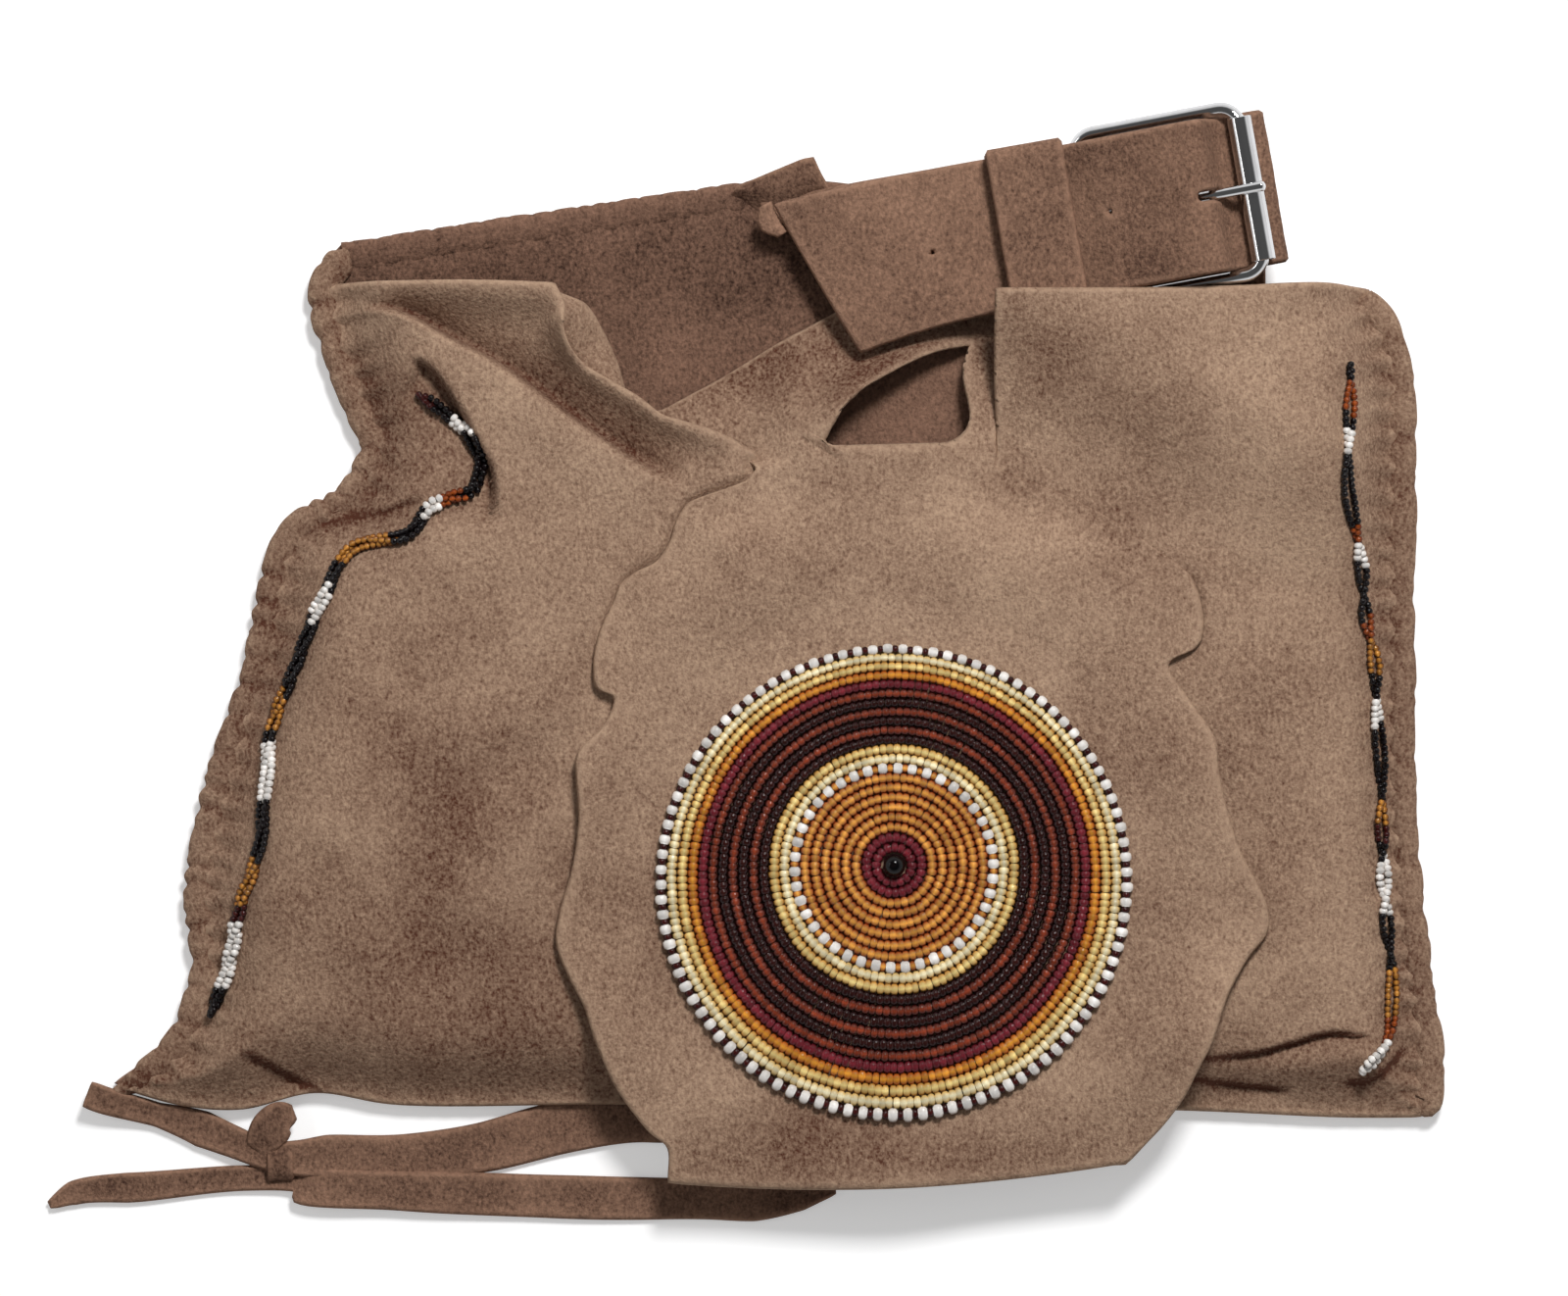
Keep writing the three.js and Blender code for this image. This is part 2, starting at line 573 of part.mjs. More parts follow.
const HALF_STRAP = STRAP_WIDTH / 2;
const WRAP_MIDDLE = (WRAP_INNER + WRAP_OUTER) / 2;
const HALF = SUEDE / 2;
const BACK_LEVEL = BACK_TOP + SEAT + HALF - HEEL_HEIGHT;
const RUN_LEVEL = -WRAP_MIDDLE + SUEDE + SEAT;
const UNDER_LEVEL = BACK_LEVEL + SUEDE + SEAT;
const TIP_LEVEL = RUN_LEVEL + SUEDE + SEAT;
const ROLLER_RADIUS = ROLLER_DIAMETER / 2;
const FRONT_BAR_HEIGHT = FRAME_LENGTH * Math.tan(THREE.MathUtils.degToRad(FRAME_TILT));
const ROLLER_GAP_LEVEL = FRONT_BAR_HEIGHT - ROLLER_RADIUS - SEAT - HALF;
const PRONG_RADIUS = PRONG_DIAMETER / 2;
const PRONG_HUB_RADIUS = WRAP_INNER + PRONG_HUB_WALL;
const PRONG_END_HEIGHT = FRONT_BAR_HEIGHT + ROLLER_RADIUS + SEAT + PRONG_RADIUS;
const PRONG_START_HEIGHT = PRONG_HUB_RADIUS - PRONG_RADIUS + SEAT;
const FRAME_HALF = HALF_STRAP + FRAME_SIDE_ROOM + WIRE_DIAMETER / 2;

// Buckle half: sewn to the back panel, over the keeper's place, round the heel bar and back
function buckleHalf() {
  const [low, high] = [-HALF_STRAP, HALF_STRAP];
  const run = BUCKLE_RUN.map(([along, share, trim]) => [
    along, THREE.MathUtils.lerp(BACK_LEVEL, RUN_LEVEL, share), low + trim, high,
  ]);
  const turn = arc(0, 0, WRAP_MIDDLE, ...WRAP_TURN, 10);
  const wrap = turn.map(([along, height]) => [along, height, low, high]);
  const strap = strapAlong([...run, ...wrap, [BUCKLE_RETURN, -WRAP_MIDDLE, low, high]], SUEDE);
  const half = PRONG_HUB_WIDTH / 2 + PRONG_SLOT_ROOM;
  const slot = boxBetween([HUB_SLOT_START, -half, -CUT_REACH], [CUT_REACH, half, CUT_REACH]);
  return toGeometry(toManifold(strap).subtract(toManifold(slot)));
}

// Prong height at a distance along the strap, at rest on the roller
function prongHeight(along) {
  return THREE.MathUtils.lerp(PRONG_START_HEIGHT, PRONG_END_HEIGHT, along / FRAME_LENGTH);
}

// Tip half: over the heel bar and the prong, under the roller, folded back below itself
function tipHalf() {
  const onWrap = WRAP_OUTER + SEAT + HALF;
  const overProng = (place) => prongHeight(place) + PRONG_RADIUS + 3 * SEAT + HALF;
  const foldRadius = SUEDE;
  const foldPlace = FRAME_LENGTH + ROLLER_RADIUS + SEAT;
  const profile = [
    ...TIP_RUN.map(([along, up]) => [along, TIP_LEVEL + up]),
    [HUB_SLOT_START, (TIP_LEVEL + onWrap) / 2],
    [0, onWrap],
    ...TIP_OVER_PRONG.map(([along, place]) => [along, overProng(place)]),
    ...TIP_TO_ROLLER.map(([along, up]) => [along, ROLLER_GAP_LEVEL + up]),
    ...arc(foldPlace, ROLLER_GAP_LEVEL - foldRadius, foldRadius, ...TIP_FOLD_TURN, 6),
    [TIP_FOLD_END[0], ROLLER_GAP_LEVEL + TIP_FOLD_END[1]],
    ...TIP_UNDER.map(([along, up]) => [along, UNDER_LEVEL + up]),
  ];
  const stations = profile.map(([along, height]) => {
    const shift = along < TIP_BEND_START ? -TIP_BEND * (along - TIP_BEND_START) ** 2 : 0;
    return [along, height, shift - HALF_STRAP, shift + HALF_STRAP];
  });
  const half = PRONG_RADIUS + PRONG_SLOT_ROOM;
  const bottom = ROLLER_GAP_LEVEL - HALF - SEAT;
  const slot = boxBetween([PRONG_SLOT[0], -half, bottom], [PRONG_SLOT[1], half, CUT_REACH]);
  return toGeometry(toManifold(strapAlong(stations, SUEDE, TIP_SLANT)).subtract(toManifold(slot)));
}

// Rest of the strap, folded to and fro inside the bag
function foldedLength() {
  const pitch = SUEDE + SEAT;
  const runs = Math.max(1, Math.floor((BAG_DEPTH - SEAT) / pitch));
  const first = BACK_TOP + SEAT + HALF;
  const stations = [[FOLDED_START, first]];
  for (let i = 0; i + 1 < runs; i++) {
    const down = i % 2 === 0;
    const place = down ? FOLDED_BOTTOM : FOLDED_TURN;
    const middle = first + i * pitch + pitch / 2;
    const fold = arc(place, middle, pitch / 2, -90, down ? -270 : 90, 4);
    stations.push(...fold);
  }
  const lastDown = runs % 2 === 1;
  stations.push([lastDown ? FOLDED_BOTTOM : FOLDED_TURN, first + (runs - 1) * pitch]);
  const full = stations.map(([along, height]) => [along, height, -HALF_STRAP, HALF_STRAP]);
  return strapAlong(full, SUEDE).rotateZ(Math.PI / 2).translate(FOLDED_PLACE, 0, 0);
}

// Keeper: a suede loop round both halves
function keeper() {
  const half = HALF_STRAP + KEEPER_ROOM;
  const low = -WRAP_OUTER - KEEPER_ROOM;
  const high = WRAP_OUTER + SEAT + SUEDE + KEEPER_ROOM;
  const ends = [KEEPER_PLACE - KEEPER_WIDTH / 2, KEEPER_PLACE + KEEPER_WIDTH / 2];
  const outer = boxBetween([ends[0], -half - SUEDE, low - SUEDE], [ends[1], half + SUEDE, high + SUEDE]);
  const inner = boxBetween([ends[0] - SUEDE, -half, low], [ends[1] + SUEDE, half, high]);
  return toGeometry(toManifold(outer).subtract(toManifold(inner)));
}

// Round wire bent to the frame's rectangle, tilted about the heel bar
function buckleFrame() {
  const corner = FRAME_CORNER;
  const length = FRAME_LENGTH / Math.cos(THREE.MathUtils.degToRad(FRAME_TILT));
  const turns = [
    [length - corner, FRAME_HALF - corner, 0], [corner, FRAME_HALF - corner, 90],
    [corner, corner - FRAME_HALF, 180], [length - corner, corner - FRAME_HALF, 270],
  ];
  const places = { length: FRAME_CORNER_STEPS + 1 };
  const rings = turns.flatMap(([x, y, start]) => Array.from(places, (_, i) => {
    const heading = THREE.MathUtils.degToRad(start + (90 * i) / FRAME_CORNER_STEPS);
    const out = new THREE.Vector3(Math.cos(heading), Math.sin(heading), 0);
    const middle = new THREE.Vector3(x, y, 0).addScaledVector(out, corner);
    return Array.from({ length: WIRE_SIDES }, (_, j) => {
      const round = (2 * Math.PI * j) / WIRE_SIDES;
      const point = middle.clone().addScaledVector(out, (WIRE_DIAMETER / 2) * Math.cos(round));
      point.z += (WIRE_DIAMETER / 2) * Math.sin(round);
      return point;
    });
  }));
  return loft(rings, true).rotateY(-THREE.MathUtils.degToRad(FRAME_TILT));
}

// Tube round a bar of the frame, along y
function tubeOnBar(radius, half) {
  const profile = [[WRAP_INNER, -half], [radius, -half], [radius, half], [WRAP_INNER, half]];
  const points = [...profile, profile[0]].map((p) => new THREE.Vector2(...p));
  return new THREE.LatheGeometry(points, ROUND_SIDES);
}

// Roller: a tube that turns on the front bar
function buckleRoller() {
  const half = FRAME_HALF - FRAME_CORNER - ROLLER_END_ROOM;
  return tubeOnBar(ROLLER_RADIUS, half).translate(FRAME_LENGTH, 0, FRONT_BAR_HEIGHT);
}

// Prong: a hub on the heel bar and a round pin that rests on the roller
function buckleProng() {
  const hub = tubeOnBar(PRONG_HUB_RADIUS, PRONG_HUB_WIDTH / 2);
  const end = FRAME_LENGTH + PRONG_OVERHANG;
  const path = new THREE.LineCurve3(
    new THREE.Vector3(0, 0, prongHeight(0)),
    new THREE.Vector3(end, 0, prongHeight(end)),
  );
  const section = new THREE.Shape().absarc(0, 0, PRONG_RADIUS, 0, 2 * Math.PI);
  const options = { steps: 2, extrudePath: path, curveSegments: 5, bevelEnabled: false };
  const pin = new THREE.ExtrudeGeometry(section, options);
  const bar = new THREE.CylinderGeometry(WRAP_INNER, WRAP_INNER, 2 * PRONG_HUB_WIDTH, ROUND_SIDES);
  return toGeometry(toManifold(hub).add(toManifold(pin).subtract(toManifold(bar))));
}

// Suede tie: a flat thong along points of a route
function thong(route) {
  const path = curveThrough(route);
  const steps = Math.round(path.getLength() / (2 * SUEDE));
  const half = THONG_WIDTH / 2;
  const rings = Array.from({ length: steps + 1 }, (_, i) => {
    const middle = path.getPointAt(i / steps);
    const tangent = path.getTangentAt(i / steps);
    const corner = (across, up) => new THREE.Vector3(
      middle.x - tangent.y * across,
      middle.y + tangent.x * across,
      middle.z + up,
    );
    return [corner(-half, -HALF), corner(half, -HALF), corner(half, HALF), corner(-half, HALF)];
  });
  return loft(rings);
}

function thongKnot() {
  const knot = new THREE.SphereGeometry(0.5, ...BALL_SIDES).rotateX(Math.PI / 2).scale(...KNOT_SIZE);
  return knot.translate(...KNOT_PLACE, KNOT_SIZE[2] / 2 + SEAT);
}

// The bag
addPiece(bag, 'back_panel', backPanel(), suede(BAG_SUEDE));
addPiece(bag, 'back_hem', gatheredRoll(HEM_LINE, HEM_RADIUS, 0, 0), suede(BAG_SUEDE));
addPiece(bag, 'seam_left', gatheredRoll(LEFT_LINE, WELT_RADIUS, 0, CORNER_RELIEF), suede(BAG_SUEDE));
addPiece(bag, 'seam_bottom', gatheredRoll(BOTTOM_LINE, WELT_RADIUS, 0, 0), suede(BAG_SUEDE));
addPiece(bag, 'seam_right', gatheredRoll(RIGHT_LINE, WELT_RADIUS, CORNER_RELIEF, 0), suede(BAG_SUEDE));
const front = addPiece(bag, 'front_panel', frontPanel(), suede(BAG_SUEDE));
addPiece(bag, 'flap', flap(), suede(BAG_SUEDE));

// The beadwork
const centerBead = new THREE.SphereGeometry(CENTER_BEAD_RADIUS, ...BALL_SIDES);
centerBead.translate(0, 0, ROSETTE_BASE + CENTER_BEAD_RADIUS);
addPiece(bag, 'rosette_center_bead', centerBead, glass(BLACK));
for (let i = 0; i < RING_SHADES.length; i++) {
  const name = `rosette_ring_${String(i + 1).padStart(2, '0')}`;
  addPiece(bag, name, beadRing(FIRST_RING_RADIUS + i * RING_PITCH), glass(RING_SHADES[i]));
}
addPiece(bag, 'bead_string_left', beadString(STRING_LEFT, front), glass(AMBER));
addPiece(bag, 'bead_string_right', beadString(STRING_RIGHT, front), glass(AMBER));

// The strap and its buckle
const strap = new THREE.Group();
strap.position.set(...STRAP_PLACE, HEEL_HEIGHT);
strap.rotation.z = THREE.MathUtils.degToRad(STRAP_ANGLE);
bag.add(strap);
addPiece(strap, 'strap_buckle_half', buckleHalf(), suede(STRAP_SUEDE));
addPiece(strap, 'strap_tip_half', tipHalf(), suede(STRAP_SUEDE));
addPiece(strap, 'strap_keeper', keeper(), suede(STRAP_SUEDE));
addPiece(strap, 'buckle_frame', buckleFrame(), chrome());
addPiece(strap, 'buckle_roller', buckleRoller(), chrome());
addPiece(strap, 'buckle_prong', buckleProng(), chrome());
addPiece(bag, 'strap_folded_length', foldedLength(), suede(STRAP_SUEDE));

// The ties
addPiece(bag, 'thong_corner', thong(THONG_CORNER), suede(STRAP_SUEDE));
addPiece(bag, 'thong_right_tail', thong(THONG_RIGHT_TAIL), suede(STRAP_SUEDE));
addPiece(bag, 'thong_flap_side', thong(THONG_FLAP_SIDE), suede(STRAP_SUEDE));
addPiece(bag, 'thong_left_tail', thong(THONG_LEFT_TAIL), suede(STRAP_SUEDE));
addPiece(bag, 'thong_knot', thongKnot(), suede(STRAP_SUEDE));

export default bag;
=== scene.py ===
"""Suede crossbody bag with a beaded flap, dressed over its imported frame."""
import logging
import math
from dataclasses import dataclass
from enum import Enum
from typing import Callable, Iterable, Sequence

import bpy
import numpy as np
from mathutils import Matrix, Vector, noise


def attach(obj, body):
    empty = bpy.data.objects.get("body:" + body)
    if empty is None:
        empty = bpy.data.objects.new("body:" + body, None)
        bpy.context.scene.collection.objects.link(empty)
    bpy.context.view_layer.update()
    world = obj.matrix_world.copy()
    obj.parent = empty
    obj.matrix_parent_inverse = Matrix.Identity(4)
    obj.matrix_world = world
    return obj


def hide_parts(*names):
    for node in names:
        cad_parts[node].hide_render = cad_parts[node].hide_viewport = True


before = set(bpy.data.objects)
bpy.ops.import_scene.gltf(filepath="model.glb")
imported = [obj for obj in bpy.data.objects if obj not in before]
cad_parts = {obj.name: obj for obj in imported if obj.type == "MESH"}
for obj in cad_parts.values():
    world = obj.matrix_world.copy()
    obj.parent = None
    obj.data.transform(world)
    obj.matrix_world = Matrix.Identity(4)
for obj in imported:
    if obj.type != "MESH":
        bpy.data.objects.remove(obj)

LOG = logging.getLogger("suede_bag")
MM = 0.001
Array = np.ndarray
Route = Sequence[Sequence[float]]
CURVE_SAMPLES = 24
TINY = 1e-9

# Layers of the bag in millimetres, the same as in the solids
SUEDE = 1.8
SEAT = 0.3
BAG_DEPTH = 8.4
BACK_TOP = SUEDE
FRONT_TOP = BACK_TOP + BAG_DEPTH + SUEDE
FLAP_UNDER = FRONT_TOP + SEAT
ROSETTE_BASE = FLAP_UNDER + SUEDE + SEAT
SEAM_TOP = BACK_TOP + SEAT + SUEDE + 1.0

# Thinner suede of the turned edge, of small strap ends and of the knot
THIN_SUEDE = SUEDE * 0.7
WORN_SUEDE = SUEDE * 0.6

# Outer edge of the bag, counter-clockwise
HEM_LINE = [[-24, 144.5], [-46, 141], [-72, 137.2], [-98, 133.2], [-110, 131.2], [-116, 130.4]]
LEFT_LINE = [
    [-117, 130.4], [-122.6, 122], [-121.7, 112.3], [-116.4, 97], [-112.3, 88], [-116.4, 79.5],
    [-126, 74], [-131.5, 66], [-136.7, 42], [-143.5, 22], [-149, -4], [-148, -24], [-153.1, -36.5],
    [-166.4, -46.7],
]
BOTTOM_LINE = [
    [-166.4, -46.7], [-148, -51.4], [-136, -52], [-121, -48.6], [-104, -51], [-58, -50.9], [0, -51.5],
    [59, -52], [95, -53.5], [112.5, -53.5],
]
RIGHT_LINE = [
    [114.8, -51], [115.6, -40], [112.6, -18], [110, 10], [109.6, 60], [109.6, 98], [108.3, 108],
    [105.4, 115], [100.4, 120.4],
]
BACK_TOP_RIGHT = [[97, 118.8], [84, 119.6], [76, 122], [66, 128.4], [40, 134], [5, 140]]
TOP_LINE = [
    [-108, 121.4], [-88, 121.6], [-60, 120.6], [-20, 120], [51, 119.8], [74, 120.3], [83, 120.8], [92, 121],
]
DIP_LINE = [
    [-74, 130], [-71, 120.8], [-69.2, 117], [-69, 111], [-65.6, 105], [-59.4, 100.8], [-53.6, 97.4],
    [-48.4, 93.6], [-44, 92.2], [-37.4, 90], [-32.4, 87.6], [-28.6, 84.8], [-26.6, 79], [-8, 77.4],
    [10, 78], [19.4, 80], [21.6, 86], [21.4, 103], [21.6, 130],
]

# Flap edges from the bottom up
FLAP_LEFT = [
    [-46.7, -65.8], [-46.7, -59.2], [-51, -55.1], [-57.2, -46.7], [-61.5, -37.3], [-64.1, -29.5],
    [-67.6, -22.7], [-69.9, -16.4], [-69.3, -10], [-66.6, -0.6], [-65.2, 9.8], [-65.8, 19.1],
    [-65.2, 23.8], [-59.8, 29.5], [-58, 34.8], [-61.7, 37.3], [-62.1, 43.4], [-60.7, 49.2],
    [-58, 55.1], [-56.6, 58.6], [-53.1, 61.3], [-49, 63.5], [-46.3, 67.4], [-45.1, 71.5],
    [-42.8, 75.2], [-40, 76.8], [-33, 79.2], [-29.8, 81], [-30.6, 84.6], [-51, 92.6],
    [-46.4, 96], [-35.4, 102], [-24, 108.9], [-15, 113.8], [-6, 119], [2, 126],
]
FLAP_RIGHT = [
    [48.2, -61.9], [54.9, -55.1], [59.6, -48.8], [62.5, -43], [65.4, -37.3], [67.3, -32],
    [69.1, -26.8], [73.2, -19.5], [77.5, -13.7], [76.8, -7], [71.7, 2.9], [69.1, 10.9],
    [67.2, 19.1], [66.4, 26.4], [61.5, 34], [56.8, 41.6], [62.5, 45.3], [64.1, 49],
    [63.7, 54.5], [61.7, 60], [59.6, 62.3], [54, 66.4], [48.8, 70.1], [42, 74],
    [35.5, 77.2], [29, 79.8], [24.5, 81.4], [21.3, 83.2], [21, 86.4], [21.2, 90],
    [23.4, 96], [24.4, 101.5], [25, 106.5], [25.6, 111.5], [26.5, 117.5], [30, 124],
]
COVER_OUTLINE = np.array(FLAP_LEFT[:29] + FLAP_RIGHT[:29][::-1], float)
FLUSH_EDGES = (FLAP_LEFT[18:28], FLAP_RIGHT[18:29])
MERGED_EDGE = FLAP_RIGHT[20:28]
MERGE_REACH = 4.0

# How deep and how wide the flap's upper edges sink into the soft front
PRESS_DEPTH = 1.1
PRESS_REACH = 9.0

# Rounded rim of cut suede, and how its wear fades over the next rows of the net
RIM_BULGE = 0.35
RIM_SMOOTHINGS = 4
WEAR_FADES = (0.55, 0.25)

# Spacing of a panel's net: crowding of its rows, steps along a side, and how travel along and across counts
NET_CROWDING = 0.075
NET_WALK = 800
NET_PACE = (1.0, 0.3)

# Broad mottling that the front and the flap share where they lie flush
MOTTLE_TONE = 0.16
MOTTLE_SIZE = 34.0
MOTTLE_SEED = 1.7
FLUSH_TONE = 0.16


class Slot(Enum):
    """Material slots of the record."""

    BAG = "bag_suede"
    STRAP = "strap_suede"
    METAL = "buckle_metal"
    BLACK = "bead_black"
    WINE = "bead_wine"
    AMBER = "bead_amber"
    WHITE = "bead_white"
    GOLD = "bead_gold"
    BROWN = "bead_brown"


def smooth(value: Array) -> Array:
    """Ease from 0 to 1 over the unit interval."""
    t = np.clip(value, 0.0, 1.0)
    return t * t * (3.0 - 2.0 * t)


def ramp(value: Array, zone: tuple[float, float]) -> Array:
    """Ease from 0 to 1 over a zone, given as its start and its run."""
    return smooth((value - zone[0]) / zone[1])


def bell(distance: Array, reach: float) -> Array:
    """Falloff that is 1 at no distance and fades within the reach."""
    return np.exp(-((distance / reach) ** 2))


def travelled(line: Array) -> Array:
    """Travel along a line at each of its points."""
    return np.concatenate([[0.0], np.cumsum(np.linalg.norm(np.diff(line, axis=0), axis=1))])


def headings(line: Array) -> Array:
    """Unit vectors along a line at each of its points."""
    way = np.gradient(line, axis=0)
    return way / np.linalg.norm(way, axis=1, keepdims=True)


def evenly(line: Array, steps: int, weights: Sequence[float] = (1.0, 1.0, 1.0)) -> Array:
    """Walk a line in even steps.

    Args:
        line: Points of the line.
        steps: Number of steps.
        weights: How much travel along each axis counts.

    Returns:
        The steps + 1 points that the walk stops at.
    """
    pace = np.asarray(weights[: line.shape[1]])
    travel = np.concatenate([[0.0], np.cumsum(np.linalg.norm(np.diff(line, axis=0) * pace, axis=1))])
    stops = np.linspace(0.0, travel[-1], steps + 1)
    return np.stack([np.interp(stops, travel, line[:, k]) for k in range(line.shape[1])], axis=1)


def curve(points: Route, steps: int, weights: Sequence[float] = (1.0, 1.0, 1.0)) -> Array:
    """Sample a centripetal curve through points.

    Args:
        points: Points that the curve passes through.
        steps: Number of even steps along the curve.
        weights: How much travel along each axis counts.

    Returns:
        The steps + 1 points on the curve.
    """
    p = np.asarray(points, float)
    p = np.vstack([2 * p[0] - p[1], p, 2 * p[-1] - p[-2]])
    u = np.linspace(0.0, 1.0, CURVE_SAMPLES, endpoint=False)[:, None]
    pieces = []
    for a, b, c, d in zip(p[:-3], p[1:-2], p[2:-1], p[3:]):
        t1 = max(np.linalg.norm(b - a), 1e-6) ** 0.5
        t2 = t1 + max(np.linalg.norm(c - b), 1e-6) ** 0.5
        t3 = t2 + max(np.linalg.norm(d - c), 1e-6) ** 0.5
        t = t1 + (t2 - t1) * u
        ab = (t1 - t) / t1 * a + t / t1 * b
        bc = (t2 - t) / (t2 - t1) * b + (t - t1) / (t2 - t1) * c
        cd = (t3 - t) / (t3 - t2) * c + (t - t2) / (t3 - t2) * d
        abc = (t2 - t) / t2 * ab + t / t2 * bc
        bcd = (t3 - t) / (t3 - t1) * bc + (t - t1) / (t3 - t1) * cd
        pieces.append((t2 - t) / (t2 - t1) * abc + (t - t1) / (t2 - t1) * bcd)
    pieces.append(p[-2:-1])
    return evenly(np.vstack(pieces), steps, weights)


def inset(points: Route, distance: float) -> Array:
    """Move each point of a line to its left, square to the line there."""
    p = np.asarray(points, float)
    along = np.vstack([p[1] - p[0], p[2:] - p[:-2], p[-1] - p[-2]])
    along /= np.linalg.norm(along, axis=1, keepdims=True)
    return p + np.stack([-along[:, 1], along[:, 0]], axis=1) * distance


def crossing(a: Array, b: Array, c: Array, d: Array) -> Array:
    """Point where the line through a and b crosses the line through c and d."""
    ab, cd, ac = b - a, d - c, c - a
    return a + ab * (ac[0] * cd[1] - ac[1] * cd[0]) / (ab[0] * cd[1] - ab[1] * cd[0])


def nearest(places: Array, line: Route) -> tuple[Array, Array, Array]:
    """Measure places against a line of straight pieces.

    Args:
        places: Points in the plan.
        line: Points of the line.

    Returns:
        Each place's distance, the travel along the line to its nearest point, and that point.
    """
    p = np.asarray(line, float)[:, :2]
    best = np.full(len(places), np.inf)
    travel, near, gone = np.zeros(len(places)), np.zeros((len(places), 2)), 0.0
    for a, b in zip(p[:-1], p[1:]):
        step = b - a
        length = max(float(np.linalg.norm(step)), TINY)
        t = np.clip((places - a) @ step / length**2, 0.0, 1.0)
        foot = a + t[:, None] * step
        away = np.linalg.norm(places - foot, axis=1)
        closer = away < best
        best[closer], near[closer] = away[closer], foot[closer]
        travel[closer] = gone + t[closer] * length
        gone += length
    return best, travel, near


def beside(places: Array, line: Array) -> tuple[Array, Array]:
    """Measure places against a line with a left and a right side.

    Args:
        places: Points in the plan.
        line: Points of the line.

    Returns:
        Each place's distance, above 0 to the line's left, and its share of the way along the line.
    """
    away, travel, near = nearest(places, line)
    stops = travelled(line)
    heading = np.gradient(line, axis=0)
    ahead = np.stack([np.interp(travel, stops, heading[:, k]) for k in (0, 1)], axis=1)
    gap = places - near
    return away * np.sign(ahead[:, 0] * gap[:, 1] - ahead[:, 1] * gap[:, 0]), travel / stops[-1]


@dataclass(frozen=True)
class Patch:
    """Oval patch of the plan where a height or a tone changes, most at its middle."""

    x: float
    y: float
    wide: float
    high: float
    change: float

    def at(self, places: Array) -> Array:
        """Change at places in the plan."""
        x, y = places[:, 0], places[:, 1]
        return self.change * np.exp(-(((x - self.x) / self.wide) ** 2) - ((y - self.y) / self.high) ** 2)


FLUSH_STAIN = Patch(40, 72, 18, 14, -0.3)


def pressed(places: Array) -> Array:
    """How deep the flap's upper edges sink into the soft front."""
    return PRESS_DEPTH * np.max([bell(nearest(places, line)[0], PRESS_REACH) for line in FLUSH_EDGES], axis=0)


def matched(places: Array, tone: Array) -> Array:
    """Bring the nap of the flap and of the front to one tone where the flap lies flush."""
    share = pressed(places) / PRESS_DEPTH
    mottle = MOTTLE_TONE * wander(places, MOTTLE_SIZE, MOTTLE_SEED)
    common = FLUSH_TONE + mottle + FLUSH_STAIN.at(places)
    return tone + (common - tone) * share


def inside(places: Array, outline: Array) -> Array:
    """Say which places lie inside a closed outline."""
    found = np.zeros(len(places), bool)
    x, y = places[:, 0], places[:, 1]
    for (ax, ay), (bx, by) in zip(outline, np.roll(outline, -1, axis=0)):
        if ay != by:
            found ^= ((ay > y) != (by > y)) & (x < (bx - ax) * (y - ay) / (by - ay) + ax)
    return found


def round_hole(middle: Sequence[float], radius: float, corners: int) -> Array:
    """Outline of a round hole."""
    turn = np.linspace(0, 2 * math.pi, corners, endpoint=False)
    return np.array(middle) + radius * np.stack([np.cos(turn), np.sin(turn)], axis=1)


def wander(places: Array, size: float, seed: float) -> Array:
    """Soft random relief between about -1 and 1 at places in the plan."""
    return np.array([noise.noise(Vector((x / size, y / size, seed))) for x, y in places])


def touched(faces: Array) -> Array:
    """Say which corners of a grid belong to at least one of the marked faces."""
    corners = np.zeros((faces.shape[0] + 1, faces.shape[1] + 1), bool)
    for i in (0, 1):
        for j in (0, 1):
            corners[i : i + faces.shape[0], j : j + faces.shape[1]] |= faces
    return corners


def cut_away(plan: Array, keep: Array, outline: Array) -> tuple[Array, Array]:
    """Cut a closed outline out of a grid and bring the cut edge onto the outline.

    Args:
        plan: Grid of points in the plan.
        keep: Faces of the grid that are there.
        outline: Closed outline of what is cut away.

    Returns:
        The moved grid and the faces that are left.
    """
    flat = plan.reshape(-1, 2)
    away, _, near = nearest(flat, np.vstack([outline, outline[:1]]))
    depth = np.where(inside(flat, outline), -away, away).reshape(plan.shape[:2])
    middle = (depth[:-1, :-1] + depth[:-1, 1:] + depth[1:, 1:] + depth[1:, :-1]) / 4
    left = keep & (middle >= 0)
    rim = touched(keep & (middle < 0)) & touched(left)
    moved = plan.copy()
    moved[rim] = near.reshape(plan.shape)[rim]
    return moved, left


def new_piece(name: str, points: Array, faces: Sequence) -> bpy.types.Object:
    """Make a smooth object from points in millimetres and its faces."""
    mesh = bpy.data.meshes.new(name)
    mesh.from_pydata((np.asarray(points) * MM).tolist(), [], faces)
    mesh.validate()
    mesh.shade_smooth()
    piece = bpy.data.objects.new(name, mesh)
    bpy.context.collection.objects.link(piece)
    return piece


def add_values(piece: bpy.types.Object, name: str, values: Array) -> None:
    """Store one number, or one colour, for each point of a piece."""
    kind = "FLOAT" if values.ndim == 1 else "FLOAT_COLOR"
    stored = piece.data.attributes.new(name, kind, "POINT")
    stored.data.foreach_set("value" if values.ndim == 1 else "color", values.astype(np.float32).ravel())


